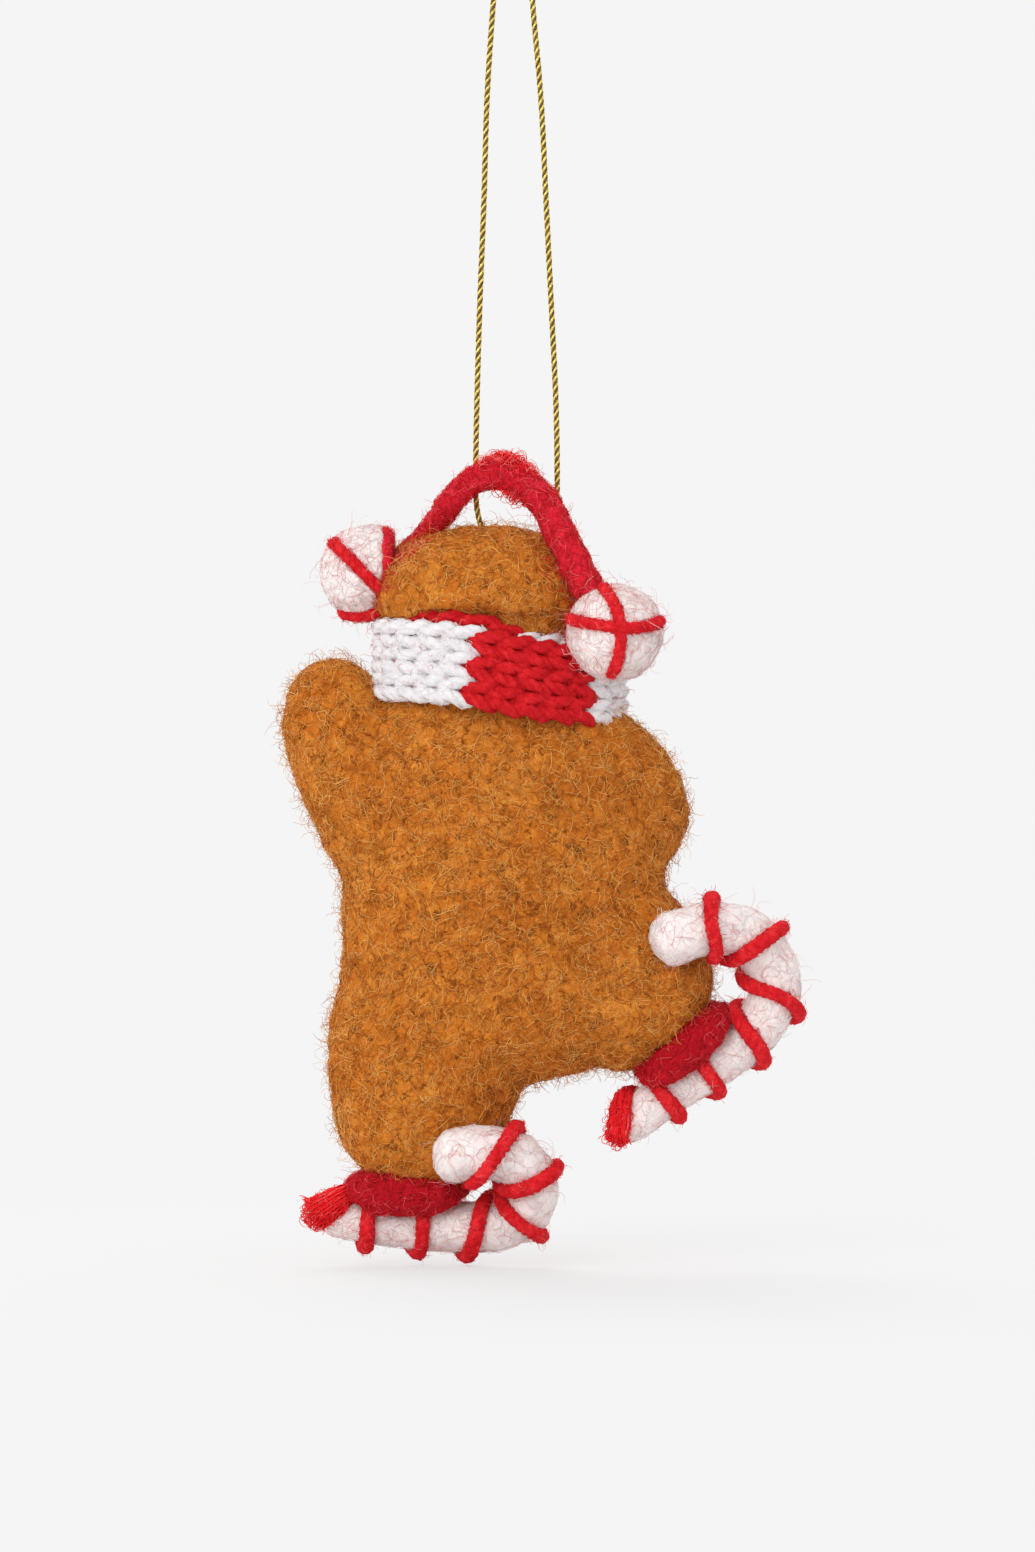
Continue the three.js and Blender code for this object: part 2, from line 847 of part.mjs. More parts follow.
// Felt boot: a boat-shaped pad between the foot and the runner, cut by both.
function boot(skate, toSkate) {
  const [toeShare, upShare] = skate.bootShares;
  const middle = alongRunner([toeShare, upShare]);
  const lengthwise = new THREE.Vector3(bootHalfLength, 0, 0);
  const form = {
    spine: [middle.clone().sub(lengthwise), middle, middle.clone().add(lengthwise)],
    halfWidth: bootHalfHeight,
    halfDepth: bootHalfDepth,
    widthShares: evenShares,
    depthShares: evenShares,
    capShares: [0.4, 0.4],
    rings: 9,
    sides: 14,
  };
  const leg = stuffed(skate.leg, seatGap).applyMatrix4(toSkate);
  const yarnRoom = 2 * (caneYarnRadius + seatGap);
  return cutBy(stuffed(form), [leg, stuffed(caneForm(skate), yarnRoom)]);
}

function skateGroup(skate) {
  const { side, heel, tilt, leg } = skate;
  const group = new THREE.Group();
  group.position.copy(leg.spine.at(-1)).add(new THREE.Vector3(heel[0], 0, -heel[1]));
  group.rotation.y = THREE.MathUtils.degToRad(tilt);
  group.updateMatrixWorld(true);
  const form = caneForm(skate);
  const curve = new THREE.CatmullRomCurve3(form.spine);
  const bore = boreIn(curve, caneWireShares, caneWireRadius);
  const wire = wireIn(curve, caneWireShares, caneWireRadius);
  group.add(
    piece(`boot_${side}`, boot(skate, group.matrixWorld.clone().invert()), bootWool),
    piece(`runner_${side}`, cutBy(stuffed(form), [bore]), whiteWool),
    piece(`runner_wire_${side}`, wire, steelWire),
    piece(`runner_yarn_${side}`, caneYarn(skate), redWool),
  );
  return group;
}

// The front: how far the head's felt stands forward at a place on the face
function facePlace(x, drop) {
  const share = drop / headHeight;
  const round = roundOff(share, headForm.capShares[0]);
  const wide = headHalfWidth * shareAt(headForm.widthShares, share) * round;
  const deep = headHalfDepth * shareAt(headForm.depthShares, share) * round;
  const y = -deep * Math.sqrt(1 - (x / wide) ** 2);
  return new THREE.Vector3(headMiddleX + x, y, headTop - drop);
}

function eye(side) {
  const bead = new THREE.SphereGeometry(eyeRadius, 12, 8);
  const { x, y, z } = facePlace((side * eyeSpacing) / 2, eyeDrop);
  bead.translate(x, y, z);
  return cutBy(bead, [headGrown]);
}

function smile() {
  const steps = 10;
  const halfArc = THREE.MathUtils.degToRad(smileHalfArcDegrees);
  const points = Array.from({ length: steps + 1 }, (_, i) => {
    const angle = halfArc * ((2 * i) / steps - 1);
    const drop = smileDrop + smileRadius * (Math.cos(angle) - Math.cos(halfArc));
    return facePlace(smileRadius * Math.sin(angle), drop);
  });
  points.forEach((point) => point.addScaledVector(backwards, -(seatGap + smileThread / 2)));
  return cutBy(tube(new THREE.CatmullRomCurve3(points), smileThread, steps, 6), [headGrown]);
}

function button(index) {
  const drop = firstButtonDrop + index * buttonSpacing;
  const share = drop / torsoHeight;
  const deep = torsoHalfDepth * shareAt(torsoForm.depthShares, share);
  const disc = new THREE.SphereGeometry(buttonRadius, 14, 8);
  disc.scale(1, buttonDepthShare, 1);
  disc.translate(torsoMiddleX, -deep, torsoTop - drop);
  return cutBy(disc, [torsoGrown, scarfGrown]);
}

const bandBore = boreIn(bandCurve, bandWireShares, bandWireRadius);
const bandWire = wireIn(bandCurve, bandWireShares, bandWireRadius);
const cordCurve = new THREE.CatmullRomCurve3(cordRoute.map(([x, y, z]) => new THREE.Vector3(x, y, z)));

const figure = new THREE.Group();
figure.add(
  piece("torso", cutBy(stuffed(torsoForm), [scarfGrown]), brownWool),
  piece("head", cutBy(stuffed(headForm), [torsoGrown, scarfGrown, cordKnot(seatGap)]), brownWool),
  piece("arm_left", cutBy(stuffed(leftArmForm), [torsoGrown, scarfGrown, headGrown]), brownWool),
  piece("arm_right", cutBy(stuffed(rightArmForm), [torsoGrown, scarfGrown, headGrown]), brownWool),
  piece("leg_left", cutBy(stuffed(standingLegForm), [torsoGrown]), brownWool),
  piece("leg_right", cutBy(stuffed(raisedLegForm), [torsoGrown]), brownWool),
  piece("scarf", scarfStrip(0), scarfYarn),
  piece("earmuff_band", cutBy(stuffed(bandForm), [bandBore]), redWool),
  piece("band_wire", bandWire, steelWire),
  piece("cord_knot", cordKnot(0), goldCord),
  piece("eye_left", eye(1), blackBead),
  piece("eye_right", eye(-1), blackBead),
  piece("smile", smile(), redWool),
);
for (const pad of pads)
  figure.add(
    piece(`earmuff_pad_${pad.side}`, padBall(pad), whiteWool),
    piece(`pad_yarn_${pad.side}`, padYarn(pad), redWool),
  );
for (const skate of skates) figure.add(skateGroup(skate));
for (let index = 0; index < buttonCount; index++)
  figure.add(piece(`button_${index + 1}`, button(index), redWool));

const group = new THREE.Group();
group.add(piece("hanging_cord", tube(cordCurve, cordRadius, 64, 8), goldCord), figure);

export default group;
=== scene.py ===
"""Looks of the gingerbread man ornament: needle-felted wool, knitted scarf, wound yarn and gold cord.

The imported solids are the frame. Each class below is one sub-assembly: it holds its sizes, builds its
meshes over those solids and dresses them. Sizes are written in millimetres times MM, in the frame of
the solids: +Z up, the figure's back towards +Y, its left towards +X.
"""

import logging
import math
import random
from collections.abc import Callable, Sequence
from dataclasses import dataclass, field
from enum import Enum

import bmesh
import bpy
import numpy as np
from mathutils import Matrix, Quaternion, Vector, noise
from mathutils.bvhtree import BVHTree


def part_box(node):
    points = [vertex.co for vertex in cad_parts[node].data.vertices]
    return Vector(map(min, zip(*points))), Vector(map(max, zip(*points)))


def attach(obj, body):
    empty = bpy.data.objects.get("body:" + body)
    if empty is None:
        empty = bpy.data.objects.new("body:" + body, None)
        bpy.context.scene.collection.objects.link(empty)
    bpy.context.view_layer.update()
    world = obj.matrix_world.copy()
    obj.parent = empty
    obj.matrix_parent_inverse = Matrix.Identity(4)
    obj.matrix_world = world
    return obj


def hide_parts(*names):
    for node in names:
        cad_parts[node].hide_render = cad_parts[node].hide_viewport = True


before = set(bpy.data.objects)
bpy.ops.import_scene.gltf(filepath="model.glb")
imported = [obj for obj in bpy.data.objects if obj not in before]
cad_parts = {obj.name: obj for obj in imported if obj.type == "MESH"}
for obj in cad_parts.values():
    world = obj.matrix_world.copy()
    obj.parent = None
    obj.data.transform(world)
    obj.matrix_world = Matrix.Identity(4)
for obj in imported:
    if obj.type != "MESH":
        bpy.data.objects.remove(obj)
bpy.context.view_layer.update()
MM = 0.001
LOG = logging.getLogger("ornament")
Colour = tuple[float, float, float, float]
Points = np.ndarray
Weights = tuple[float, float, float]

FIBRE_SIDES = 3
THREAD_SIDES = 6
YARN_SIDES = 9
# How deep a fibre's root lies in the felt, and how near the solids' corners are welded
ROOT_DEPTH = 0.1 * MM
WELD = 0.002 * MM


class Body(Enum):
    """The moving bodies of the frame."""

    HANGER = "hanger"
    FIGURE = "figure"


class Slot(Enum):
    """The record's material slots."""

    BROWN = "brown_felt"
    RED = "red_felt"
    WHITE = "white_felt"
    BOOT = "boot_felt"
    SCARF = "scarf_knit"
    CORD = "gold_cord"
    BEAD = "bead"


def rgb(red: int, green: int, blue: int) -> Colour:
    """Turn a colour as a screen shows it, 0 to 255, into the linear one that shaders take."""

    def linear(value: float) -> float:
        return value / 12.92 if value <= 0.04045 else ((value + 0.055) / 1.055) ** 2.4

    return (linear(red / 255), linear(green / 255), linear(blue / 255), 1.0)


# Shader building


class Term:
    """A shader value that Python's operators combine through Math nodes."""

    def __init__(self, paint: "Paint", socket: bpy.types.NodeSocket) -> None:
        """Wrap an output socket of a material that is being painted."""
        self.paint = paint
        self.socket = socket

    def maths(self, operation: str, other: "Term | float") -> "Term":
        """Add one Math node.

        Args:
            operation: the node's operation.
            other: its second input. This value is the first.

        Returns:
            The node's result.
        """
        return self.paint.node("ShaderNodeMath", {"operation": operation}, {0: self, 1: other})

    def __add__(self, other: "Term | float") -> "Term":
        """Add."""
        return self.maths("ADD", other)

    def __sub__(self, other: "Term | float") -> "Term":
        """Subtract another value from this one."""
        return self.maths("SUBTRACT", other)

    def __mul__(self, other: "Term | float") -> "Term":
        """Multiply."""
        return self.maths("MULTIPLY", other)

    def most(self, *others: "Term") -> "Term":
        """Return the largest of this value and others."""
        best = self
        for other in others:
            best = best.maths("MAXIMUM", other)
        return best

    def between(self, low: float, high: float) -> "Term":
        """Rise smoothly from 0 at the low value to 1 at the high one."""
        ends = {"From Min": low, "From Max": high, "Value": self}
        return self.paint.node("ShaderNodeMapRange", {"interpolation_type": "SMOOTHSTEP"}, ends)


def blend(shares: Sequence[float], *values: Term) -> Term:
    """Return the sum of values, each times its share."""
    total, *rest = (value * share for share, value in zip(shares, values, strict=True))
    for part in rest:
        total = total + part
    return total


class Paint:
    """The shader of a material or the world while it is being made."""

    def __init__(self, block: bpy.types.Material | bpy.types.World, output: str = "ShaderNodeOutputMaterial") -> None:
        """Start a shader that holds only its output.

        Args:
            block: the material or the world.
            output: the kind of its output node.
        """
        block.use_nodes = True
        self.block = block
        self.tree = block.node_tree
        self.tree.nodes.clear()
        self.output = self.tree.nodes.new(output)

    def node(self, kind: str, settings: dict, inputs: dict, output: int | str = 0) -> Term:
        """Add one node.

        Args:
            kind: the node's type.
            settings: its properties, set before its sockets.
            inputs: values or terms, by socket name or number.
            output: the socket to return.

        Returns:
            The chosen output.
        """
        node = self.tree.nodes.new(kind)
        for key, value in settings.items():
            setattr(node, key, value)
        for key, value in inputs.items():
            if isinstance(value, Term):
                self.tree.links.new(value.socket, node.inputs[key])
            else:
                node.inputs[key].default_value = value
        return Term(self, node.outputs[output])

    def place(self) -> Term:
        """Return the Object coordinates."""
        return self.node("ShaderNodeTexCoord", {}, {}, "Object")

    def turned(self, place: Term, turn: tuple, scale: tuple) -> Term:
        """Turn coordinates and scale them along their new axes.

        Args:
            place: the coordinates.
            turn: angles about X, Y and Z, in degrees.
            scale: cycles a metre along X, Y and Z.

        Returns:
            The mapped coordinates.
        """
        angles = tuple(math.radians(angle) for angle in turn)
        level = self.node("ShaderNodeMapping", {}, {"Vector": place, "Rotation": angles})
        return self.node("ShaderNodeMapping", {}, {"Vector": level, "Scale": scale})

    def grain(self, place: Term, size: float, detail: float = 2.0, distortion: float = 0.0) -> Term:
        """Return noise whose features are about one size, in metres."""
        inputs = {"Vector": place, "Scale": 1 / size, "Detail": detail, "Distortion": distortion}
        return self.node("ShaderNodeTexNoise", {}, inputs)

    def ramp(self, value: Term, places: Sequence[float], shades: Sequence[Colour]) -> Term:
        """Return the colour that a ramp, with shades at places from 0 to 1, has at a value."""
        colour = self.node("ShaderNodeValToRGB", {}, {"Fac": value})
        elements = colour.socket.node.color_ramp.elements
        while len(elements) < len(places):
            elements.new(0.5)
        for element, place, shade in zip(elements, places, shades, strict=True):
            element.position = place
            element.color = shade
        return colour

    def mix(self, share: Term, first: Term | Colour, second: Term | Colour) -> Term:
        """Return a colour between two, by a share from 0 to 1."""
        inputs = {0: share, 6: first, 7: second}
        return self.node("ShaderNodeMix", {"data_type": "RGBA"}, inputs, 2)

    def bump(self, height: Term, depth: float) -> Term:
        """Return a normal that a height moves by up to a depth, in metres."""
        return self.node("ShaderNodeBump", {}, {"Height": height, "Distance": depth})

    def looked_at(self) -> Term:
        """Return 1 for what the camera sees, straight, mirrored or through glass, and 0 for other light."""
        straight, mirrored, through = (
            self.node("ShaderNodeLightPath", {}, {}, kind)
            for kind in ("Is Camera Ray", "Is Glossy Ray", "Is Transmission Ray")
        )
        return straight.most(mirrored, through)

    def surface(self, shader: Term) -> None:
        """Send a shader to the output."""
        self.tree.links.new(shader.socket, self.output.inputs["Surface"])

    def finish(self, **inputs: "Term | float | Colour") -> bpy.types.Material:
        """Give the material its Principled shader.

        Args:
            inputs: the shader's inputs, with underscores for the spaces in their names.

        Returns:
            The finished material.
        """
        named = {key.replace("_", " "): value for key, value in inputs.items()}
        self.surface(self.node("ShaderNodeBsdfPrincipled", {}, named))
        return self.block

    def wool(self, colour: Term, normal: Term, roughness: float, sheen: float, tint: Colour) -> bpy.types.Material:
        """Finish the material as soft wool, whose sheen has a tint of its own."""
        return self.finish(
            Base_Color=colour,
            Roughness=roughness,
            Normal=normal,
            Sheen_Weight=sheen,
            Sheen_Roughness=0.6,
            Sheen_Tint=tint,
            Specular_IOR_Level=0.2,
        )


@dataclass(frozen=True)
class Felt:
    """Needle-felted wool: dark pits of painted shade, light tufts and wisps of fibre in every direction."""

    name: str
    # The colour of the pits is painted shade in the felt's hollows; then the wool's three tones
    pit_shade: Colour
    shade: Colour
    middle: Colour
    tuft: Colour
    clump: float = 1.5 * MM
    wisp: float = 0.17 * MM
    depth: float = 0.22 * MM
    pitted: float = 0.85
    sheen: float = 0.25
    roughness: float = 0.92
    # The ways that wisps run, in degrees, and how thick one is against its length
    ways: tuple = ((0, 35, 10), (15, -50, 0), (0, 95, 25))
    slim: float = 0.12
    # The shares of clumps, patches, wisps and fine grain in the tone, and the tones of the three colours
    tones: tuple = (0.24, 0.2, 0.3, 0.26)
    stops: tuple = (0.4, 0.51, 0.63)
    # The shares of clumps, wisps, fine grain and pits in the relief, and where in their own noise pits begin and end
    relief: tuple = (0.2, 0.35, 0.3, -0.5)
    pit_ends: tuple = (0.55, 0.68)

    def material(self) -> bpy.types.Material:
        """Build the felt."""
        paint = Paint(bpy.data.materials.new(self.name))
        place = paint.place()
        clumps = paint.grain(place, self.clump, 4, 0.6)
        patches = paint.grain(place, self.clump * 7, 2)
        scale = (1 / self.wisp, 1 / self.wisp, self.slim / self.wisp)
        wisps, *others = (paint.grain(paint.turned(place, way, scale), 1, 2, 1.2) for way in self.ways)
        wisps = wisps.most(*others)
        fine = paint.grain(place, self.wisp * 2.2, 3, 1.0)
        # The pits also sink in the relief; the colour mixed in there is painted shade
        pits = paint.grain(paint.turned(place, (40, 0, 70), (1, 1, 1)), self.clump * 0.85, 5, 0.8)
        pits = pits.between(*self.pit_ends) * self.pitted
        tone = blend(self.tones, clumps, patches, wisps, fine)
        colour = paint.mix(pits, paint.ramp(tone, self.stops, (self.shade, self.middle, self.tuft)), self.pit_shade)
        normal = paint.bump(blend(self.relief, clumps, wisps, fine, pits), self.depth)
        return paint.wool(colour, normal, self.roughness, self.sheen, self.tuft)


@dataclass(frozen=True)
class Fibre:
    """Single fibres of wool, in one tone."""

    name: str
    colour: Colour
    roughness: float = 0.75

    def material(self) -> bpy.types.Material:
        """Build the fibre's tone."""
        paint = Paint(bpy.data.materials.new(self.name))
        return paint.finish(Base_Color=self.colour, Roughness=self.roughness, Specular_IOR_Level=0.25)


@dataclass(frozen=True)
class Fuzz:
    """A kind of loose fibres: their tones, how many are tried, and how they grow."""

    tones: tuple[Fibre, Fibre, Fibre]
    count: int
    length: float
    radius: float
    curl: float = 0.9
    lift: float = 0.4 * MM
    halo: float = 0.22
    joints: int = 4
    weights: Weights = (0.36, 0.4, 0.24)


@dataclass(frozen=True)
class Loose:
    """A kind of fibres that have left the felt: how many, how long and thick, and their tones' shares."""

    count: int
    length: float
    thick: float
    weights: Weights = (0.2, 0.45, 0.35)


@dataclass(frozen=True)
class Skin:
    """How solids become felt: the grid they are joined on, how far they swell, and the rounds of smoothing."""

    voxel: float
    grow: float
    smoothing: int


@dataclass(frozen=True)
class Lumps:
    """The soft lumps of a surface: their size and height, and the share of lumps a third of the size."""

    size: float
    height: float
    fine: float = 0.35


@dataclass(frozen=True)
class Yarn:
    """Spun wool: soft plies with fine fibres along them."""

    name: str
    shade: Colour
    middle: Colour
    light: Colour
    sheen: float = 0.2
    roughness: float = 0.85
    depth: float = 0.12 * MM
    # The sizes of its fine and broad grain, their shares in the tone, and the tones of the three colours
    grains: tuple = (0.22 * MM, 1.6 * MM)
    tones: tuple = (0.55, 0.45)
    stops: tuple = (0.34, 0.5, 0.66)

    def material(self) -> bpy.types.Material:
        """Build the yarn."""
        paint = Paint(bpy.data.materials.new(self.name))
        place = paint.place()
        fine = paint.grain(place, self.grains[0], 3, 1.5)
        broad = paint.grain(place, self.grains[1], 2, 0.4)
        colour = paint.ramp(blend(self.tones, fine, broad), self.stops, (self.shade, self.middle, self.light))
        return paint.wool(colour, paint.bump(fine, self.depth), self.roughness, self.sheen, self.light)


@dataclass(frozen=True)
class Thread:
    """Metallic thread of the hanging cord."""

    name: str
    dull: Colour
    bright: Colour
    metal: float
    roughness: float
    # How large its glints are, where in their noise they begin and end, and how much their roughness varies; the
    # bright colour at the glints is a painted highlight
    glint: float = 0.25 * MM
    ends: tuple = (0.4, 0.62)
    uneven: float = 0.3

    def material(self) -> bpy.types.Material:
        """Build the thread."""
        paint = Paint(bpy.data.materials.new(self.name))
        glints = paint.grain(paint.place(), self.glint, 2)
        # The bright colour mixed in at the glints is a painted highlight; there the thread is also smoother
        colour = paint.mix(glints.between(*self.ends), self.dull, self.bright)
        rough = glints * -self.uneven + (self.roughness + self.uneven / 2)
        return paint.finish(Base_Color=colour, Metallic=self.metal, Roughness=rough)


@dataclass(frozen=True)
class Gloss:
    """Hard shiny finish of the bead eyes, and drawn wire."""

    name: str
    colour: Colour
    metal: float
    roughness: float
    grain: float
    uneven: float = 0.12

    def material(self) -> bpy.types.Material:
        """Build the finish."""
        paint = Paint(bpy.data.materials.new(self.name))
        marks = paint.grain(paint.place(), self.grain, 3)
        rough = marks * self.uneven + self.roughness
        return paint.finish(Base_Color=self.colour, Metallic=self.metal, Roughness=rough)


Finish = Felt | Fibre | Yarn | Thread | Gloss

# Felts: each gives the painted shade of its pits first, then its three tones
BROWN = Felt("brown wool", rgb(114, 52, 6), rgb(175, 91, 18), rgb(200, 112, 29), rgb(224, 151, 60))
WHITE = Felt(
    "white wool",
    rgb(235, 214, 210),
    rgb(239, 226, 223),
    rgb(243, 233, 230),
    rgb(247, 241, 239),
    2.2 * MM,
    depth=0.1 * MM,
    pitted=0.6,
)
RED = Felt(
    "red wool", rgb(164, 8, 28), rgb(194, 17, 40), rgb(215, 26, 51), rgb(230, 48, 67), 1.1 * MM, depth=0.16 * MM
)
DEEP = Felt("deep red wool", rgb(120, 1, 12), rgb(152, 3, 18), rgb(174, 6, 24), rgb(198, 22, 38), 1.2 * MM)

# Three tones of loose fibre for each wool
BROWN_TONES = (
    Fibre("brown fibre", rgb(176, 94, 22)),
    Fibre("ginger fibre", rgb(214, 134, 48)),
    Fibre("gold fibre", rgb(240, 185, 102)),
)
PINK_TONES = (
    Fibre("white fibre", rgb(247, 242, 240)),
    Fibre("blush fibre", rgb(244, 208, 206)),
    Fibre("pink fibre", rgb(238, 158, 158)),
)
BRIGHT_TONES = (
    Fibre("scarlet fibre", rgb(240, 20, 34)),
    Fibre("poppy fibre", rgb(250, 38, 44)),
    Fibre("coral fibre", rgb(252, 100, 100)),
)
RED_TONES = (
    Fibre("crimson fibre", rgb(200, 16, 32)),
    Fibre("red fibre", rgb(234, 36, 44)),
    Fibre("rose fibre", rgb(246, 104, 108)),
)

# The fibres on each surface
BODY_FUZZ = Fuzz(BROWN_TONES, 22500, 5 * MM, 0.06 * MM, halo=0.4, joints=5)
HEAD_FUZZ = Fuzz(BROWN_TONES, 5000, 5 * MM, 0.06 * MM, halo=0.4, joints=5)
BLUSH_FUZZ = Fuzz(RED_TONES, 8000, 4 * MM, 0.065 * MM, halo=0.1)
SNOW_FUZZ = Fuzz(PINK_TONES, 4200, 3.4 * MM, 0.075 * MM, weights=(0.96, 0.03, 0.01))
SCARLET_FUZZ = Fuzz(RED_TONES, 2400, 2.6 * MM, 0.05 * MM, halo=0.16, weights=(0.3, 0.6, 0.1))
BAND_FUZZ = Fuzz(RED_TONES, 3000, 3.6 * MM, 0.055 * MM, halo=0.12, weights=(0.42, 0.5, 0.08))
PAD_FUZZ = Fuzz(PINK_TONES, 1200, 6 * MM, 0.055 * MM, 0.75, 0.25 * MM, 0.08, 5, (0.6, 0.28, 0.12))
PAD_YARN_FUZZ = Fuzz(RED_TONES, 900, 2.4 * MM, 0.05 * MM, halo=0.3, weights=(0.4, 0.58, 0.02))
PAD_BACK_FUZZ = Fuzz(RED_TONES, 700, 3 * MM, 0.045 * MM, halo=0.35)
CANE_FUZZ = Fuzz(PINK_TONES, 1600, 5.5 * MM, 0.05 * MM, 0.75, 0.3 * MM, 0.1, 5, (0.64, 0.26, 0.1))
CANE_YARN_FUZZ = Fuzz(RED_TONES, 1700, 2.6 * MM, 0.055 * MM, halo=0.4, weights=(0.35, 0.57, 0.08))
BOOT_FUZZ = Fuzz(RED_TONES, 1500, 3.6 * MM, 0.055 * MM, halo=0.25, weights=(0.6, 0.37, 0.03))
BUTTON_FUZZ = Fuzz(RED_TONES, 260, 2.2 * MM, 0.035 * MM, halo=0.4)

# The fibres in the band's tufts and the yarn's frayed end
BAND_TUFT = Loose(420, 6 * MM, 0.075 * MM)
BAND_WISPS = Loose(130, 6 * MM, 0.075 * MM)
FRAY = Loose(420, 1.1 * MM, 0.13 * MM, (0.35, 0.57, 0.08))
FRAY_CLOUD = Loose(620, 4 * MM, 0.09 * MM, (0.3, 0.58, 0.12))

# How each felt piece is joined from its solids, and its lumps
BODY_SKIN = Skin(1.08 * MM, 1.15 * MM, 19)
HEAD_SKIN = Skin(0.8 * MM, 0.3 * MM, 5)
PAD_SKIN = Skin(0.55 * MM, 0.15 * MM, 5)
PAD_BACK_SKIN = Skin(0.4 * MM, 0, 3)
BOOT_SKIN = Skin(0.6 * MM, 0.45 * MM, 4)
BUTTON_SKIN = Skin(0.25 * MM, 0.5 * MM, 3)
BODY_LUMPS = Lumps(2.6 * MM, 0.38 * MM)
BAND_LUMPS = Lumps(2.4 * MM, 0.34 * MM, 0.5)
PAD_LUMPS = Lumps(3 * MM, 0.25 * MM)
PAD_BACK_LUMPS = Lumps(1.6 * MM, 0.25 * MM)
YARN_LUMPS = Lumps(0.8 * MM, 0.14 * MM)
CANE_LUMPS = Lumps(3.2 * MM, 0.35 * MM)
BOOT_LUMPS = Lumps(1.8 * MM, 0.4 * MM)
BUTTON_LUMPS = Lumps(1.2 * MM, 0.15 * MM)

# Yarns, threads and hard finishes
SCARLET_YARN = Yarn("scarlet yarn", rgb(166, 6, 18), rgb(204, 18, 28), rgb(230, 44, 50))
POPPY_YARN = Yarn("poppy yarn", rgb(180, 8, 20), rgb(222, 20, 32), rgb(244, 62, 66))
SNOW_YARN = Yarn("snow yarn", rgb(222, 218, 221), rgb(236, 233, 235), rgb(246, 244, 246))
GOLD = Thread("gold thread", rgb(206, 168, 56), rgb(250, 230, 120), 0.45, 0.4)
# The dark plies stand for the shade in the grooves between the gold plies: painted shade
GROOVE_SHADE = Thread("groove shade thread", rgb(58, 42, 12), rgb(124, 94, 30), 0.2, 0.5)
JET = Gloss("jet bead", rgb(14, 12, 12), 0.0, 0.05, 4 * MM)
STEEL = Gloss("drawn steel", rgb(150, 150, 152), 1.0, 0.3, 0.4 * MM)


class Dresser:
    """Makes each material once, hands it out, hangs the pieces on their bodies and hides the solids they stand for."""

    def __init__(self) -> None:
        """Start with none made."""
        self.made: dict[str, bpy.types.Material] = {}

    def wear(self, piece: bpy.types.Object, *finishes: Finish) -> None:
        """Put finishes on a piece, one to each material slot.

        Args:
            piece: the piece.
            finishes: the finishes, in the order of its slots.
        """
        worn = piece.data.materials
        while len(worn) > len(finishes):
            worn.pop()
        while len(worn) < len(finishes):
            worn.append(None)
        for number, finish in enumerate(finishes):
            if finish.name not in self.made:
                self.made[finish.name] = finish.material()
            worn[number] = self.made[finish.name]

    def dress(
        self,
        piece: bpy.types.Object,
        finishes: Sequence[Finish],
        slot: Slot,
        *nodes: str,
        body: Body = Body.FIGURE,
        padded: bool = False,
    ) -> None:
        """Finish a piece, and say what it rides on and which solids it stands for.

        Args:
            piece: the piece.
            finishes: the finishes, in the order of its material slots.
            slot: the record's slot; not used.
            nodes: the solids that it stands for.
            body: the body that it rides on.
            padded: whether it is a stuffed form; not used.
        """
        self.wear(piece, *finishes)
        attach(piece, body.value)
        if nodes:
            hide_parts(*nodes)
        LOG.info("%s: %d triangles", piece.name, sum(len(face.vertices) - 2 for face in piece.data.polygons))


DRESSER = Dresser()


# Shapes that several pieces share


class Route:
    """A smooth line through points, measured along its length."""

    reach = 0.004

    def __init__(self, points: Sequence[Sequence[float]], samples: int = 600) -> None:
        """Lay the line, as the solids' own source does.

        Args:
            points: the points it goes through, in metres.
            samples: how finely its length is measured.
        """
        known = np.asarray(points, float)
        ends = 2 * known[0] - known[1], 2 * known[-1] - known[-2]
        padded = np.vstack([ends[0], known, ends[1]])
        count = len(known) - 1
        at = np.linspace(0, count, samples)
        first = np.minimum(at.astype(int), count - 1)
        share = (at - first)[:, None]
        before, start, end, after = (padded[first + i] for i in range(4))
        gaps = [
            np.maximum(np.linalg.norm(b - a, axis=1, keepdims=True) ** 0.5, 1e-9)
            for a, b in ((before, start), (start, end), (end, after))
        ]
        leave = (start - before) / gaps[0] - (end - before) / (gaps[0] + gaps[1]) + (end - start) / gaps[1]
        arrive = (end - start) / gaps[1] - (after - start) / (gaps[1] + gaps[2]) + (after - end) / gaps[2]
        leave, arrive = leave * gaps[1], arrive * gaps[1]
        cubic = 2 * start - 2 * end + leave + arrive
        square = -3 * start + 3 * end - 2 * leave - arrive
        self.points = start + share * (leave + share * (square + share * cubic))
        self.marks = marks_along(self.points)
        self.length = float(self.marks[-1])

    def at(self, shares: Sequence[float]) -> Points:
        """Return the points at shares of the length."""
        marks = np.clip(np.asarray(shares, float), 0, 1) * self.length
        return np.stack([np.interp(marks, self.marks, self.points[:, i]) for i in range(3)], axis=1)

    def spaced(self, count: int) -> Points:
        """Return points at even steps from end to end."""
        return self.at(np.linspace(0, 1, count))

    def along(self, shares: Sequence[float]) -> Points:
        """Return the line's directions at shares of the length."""
        shares = np.asarray(shares, float)
        return unit(self.at(shares + self.reach) - self.at(shares - self.reach))


def marks_along(points: Points) -> Points:
    """Return how far along a line each of its points lies."""
    return np.concatenate([[0], np.cumsum(np.linalg.norm(np.diff(points, axis=0), axis=1))])


def unit(vectors: Points) -> Points:
    """Return vectors of length 1."""
    return vectors / np.maximum(np.linalg.norm(vectors, axis=-1, keepdims=True), 1e-12)


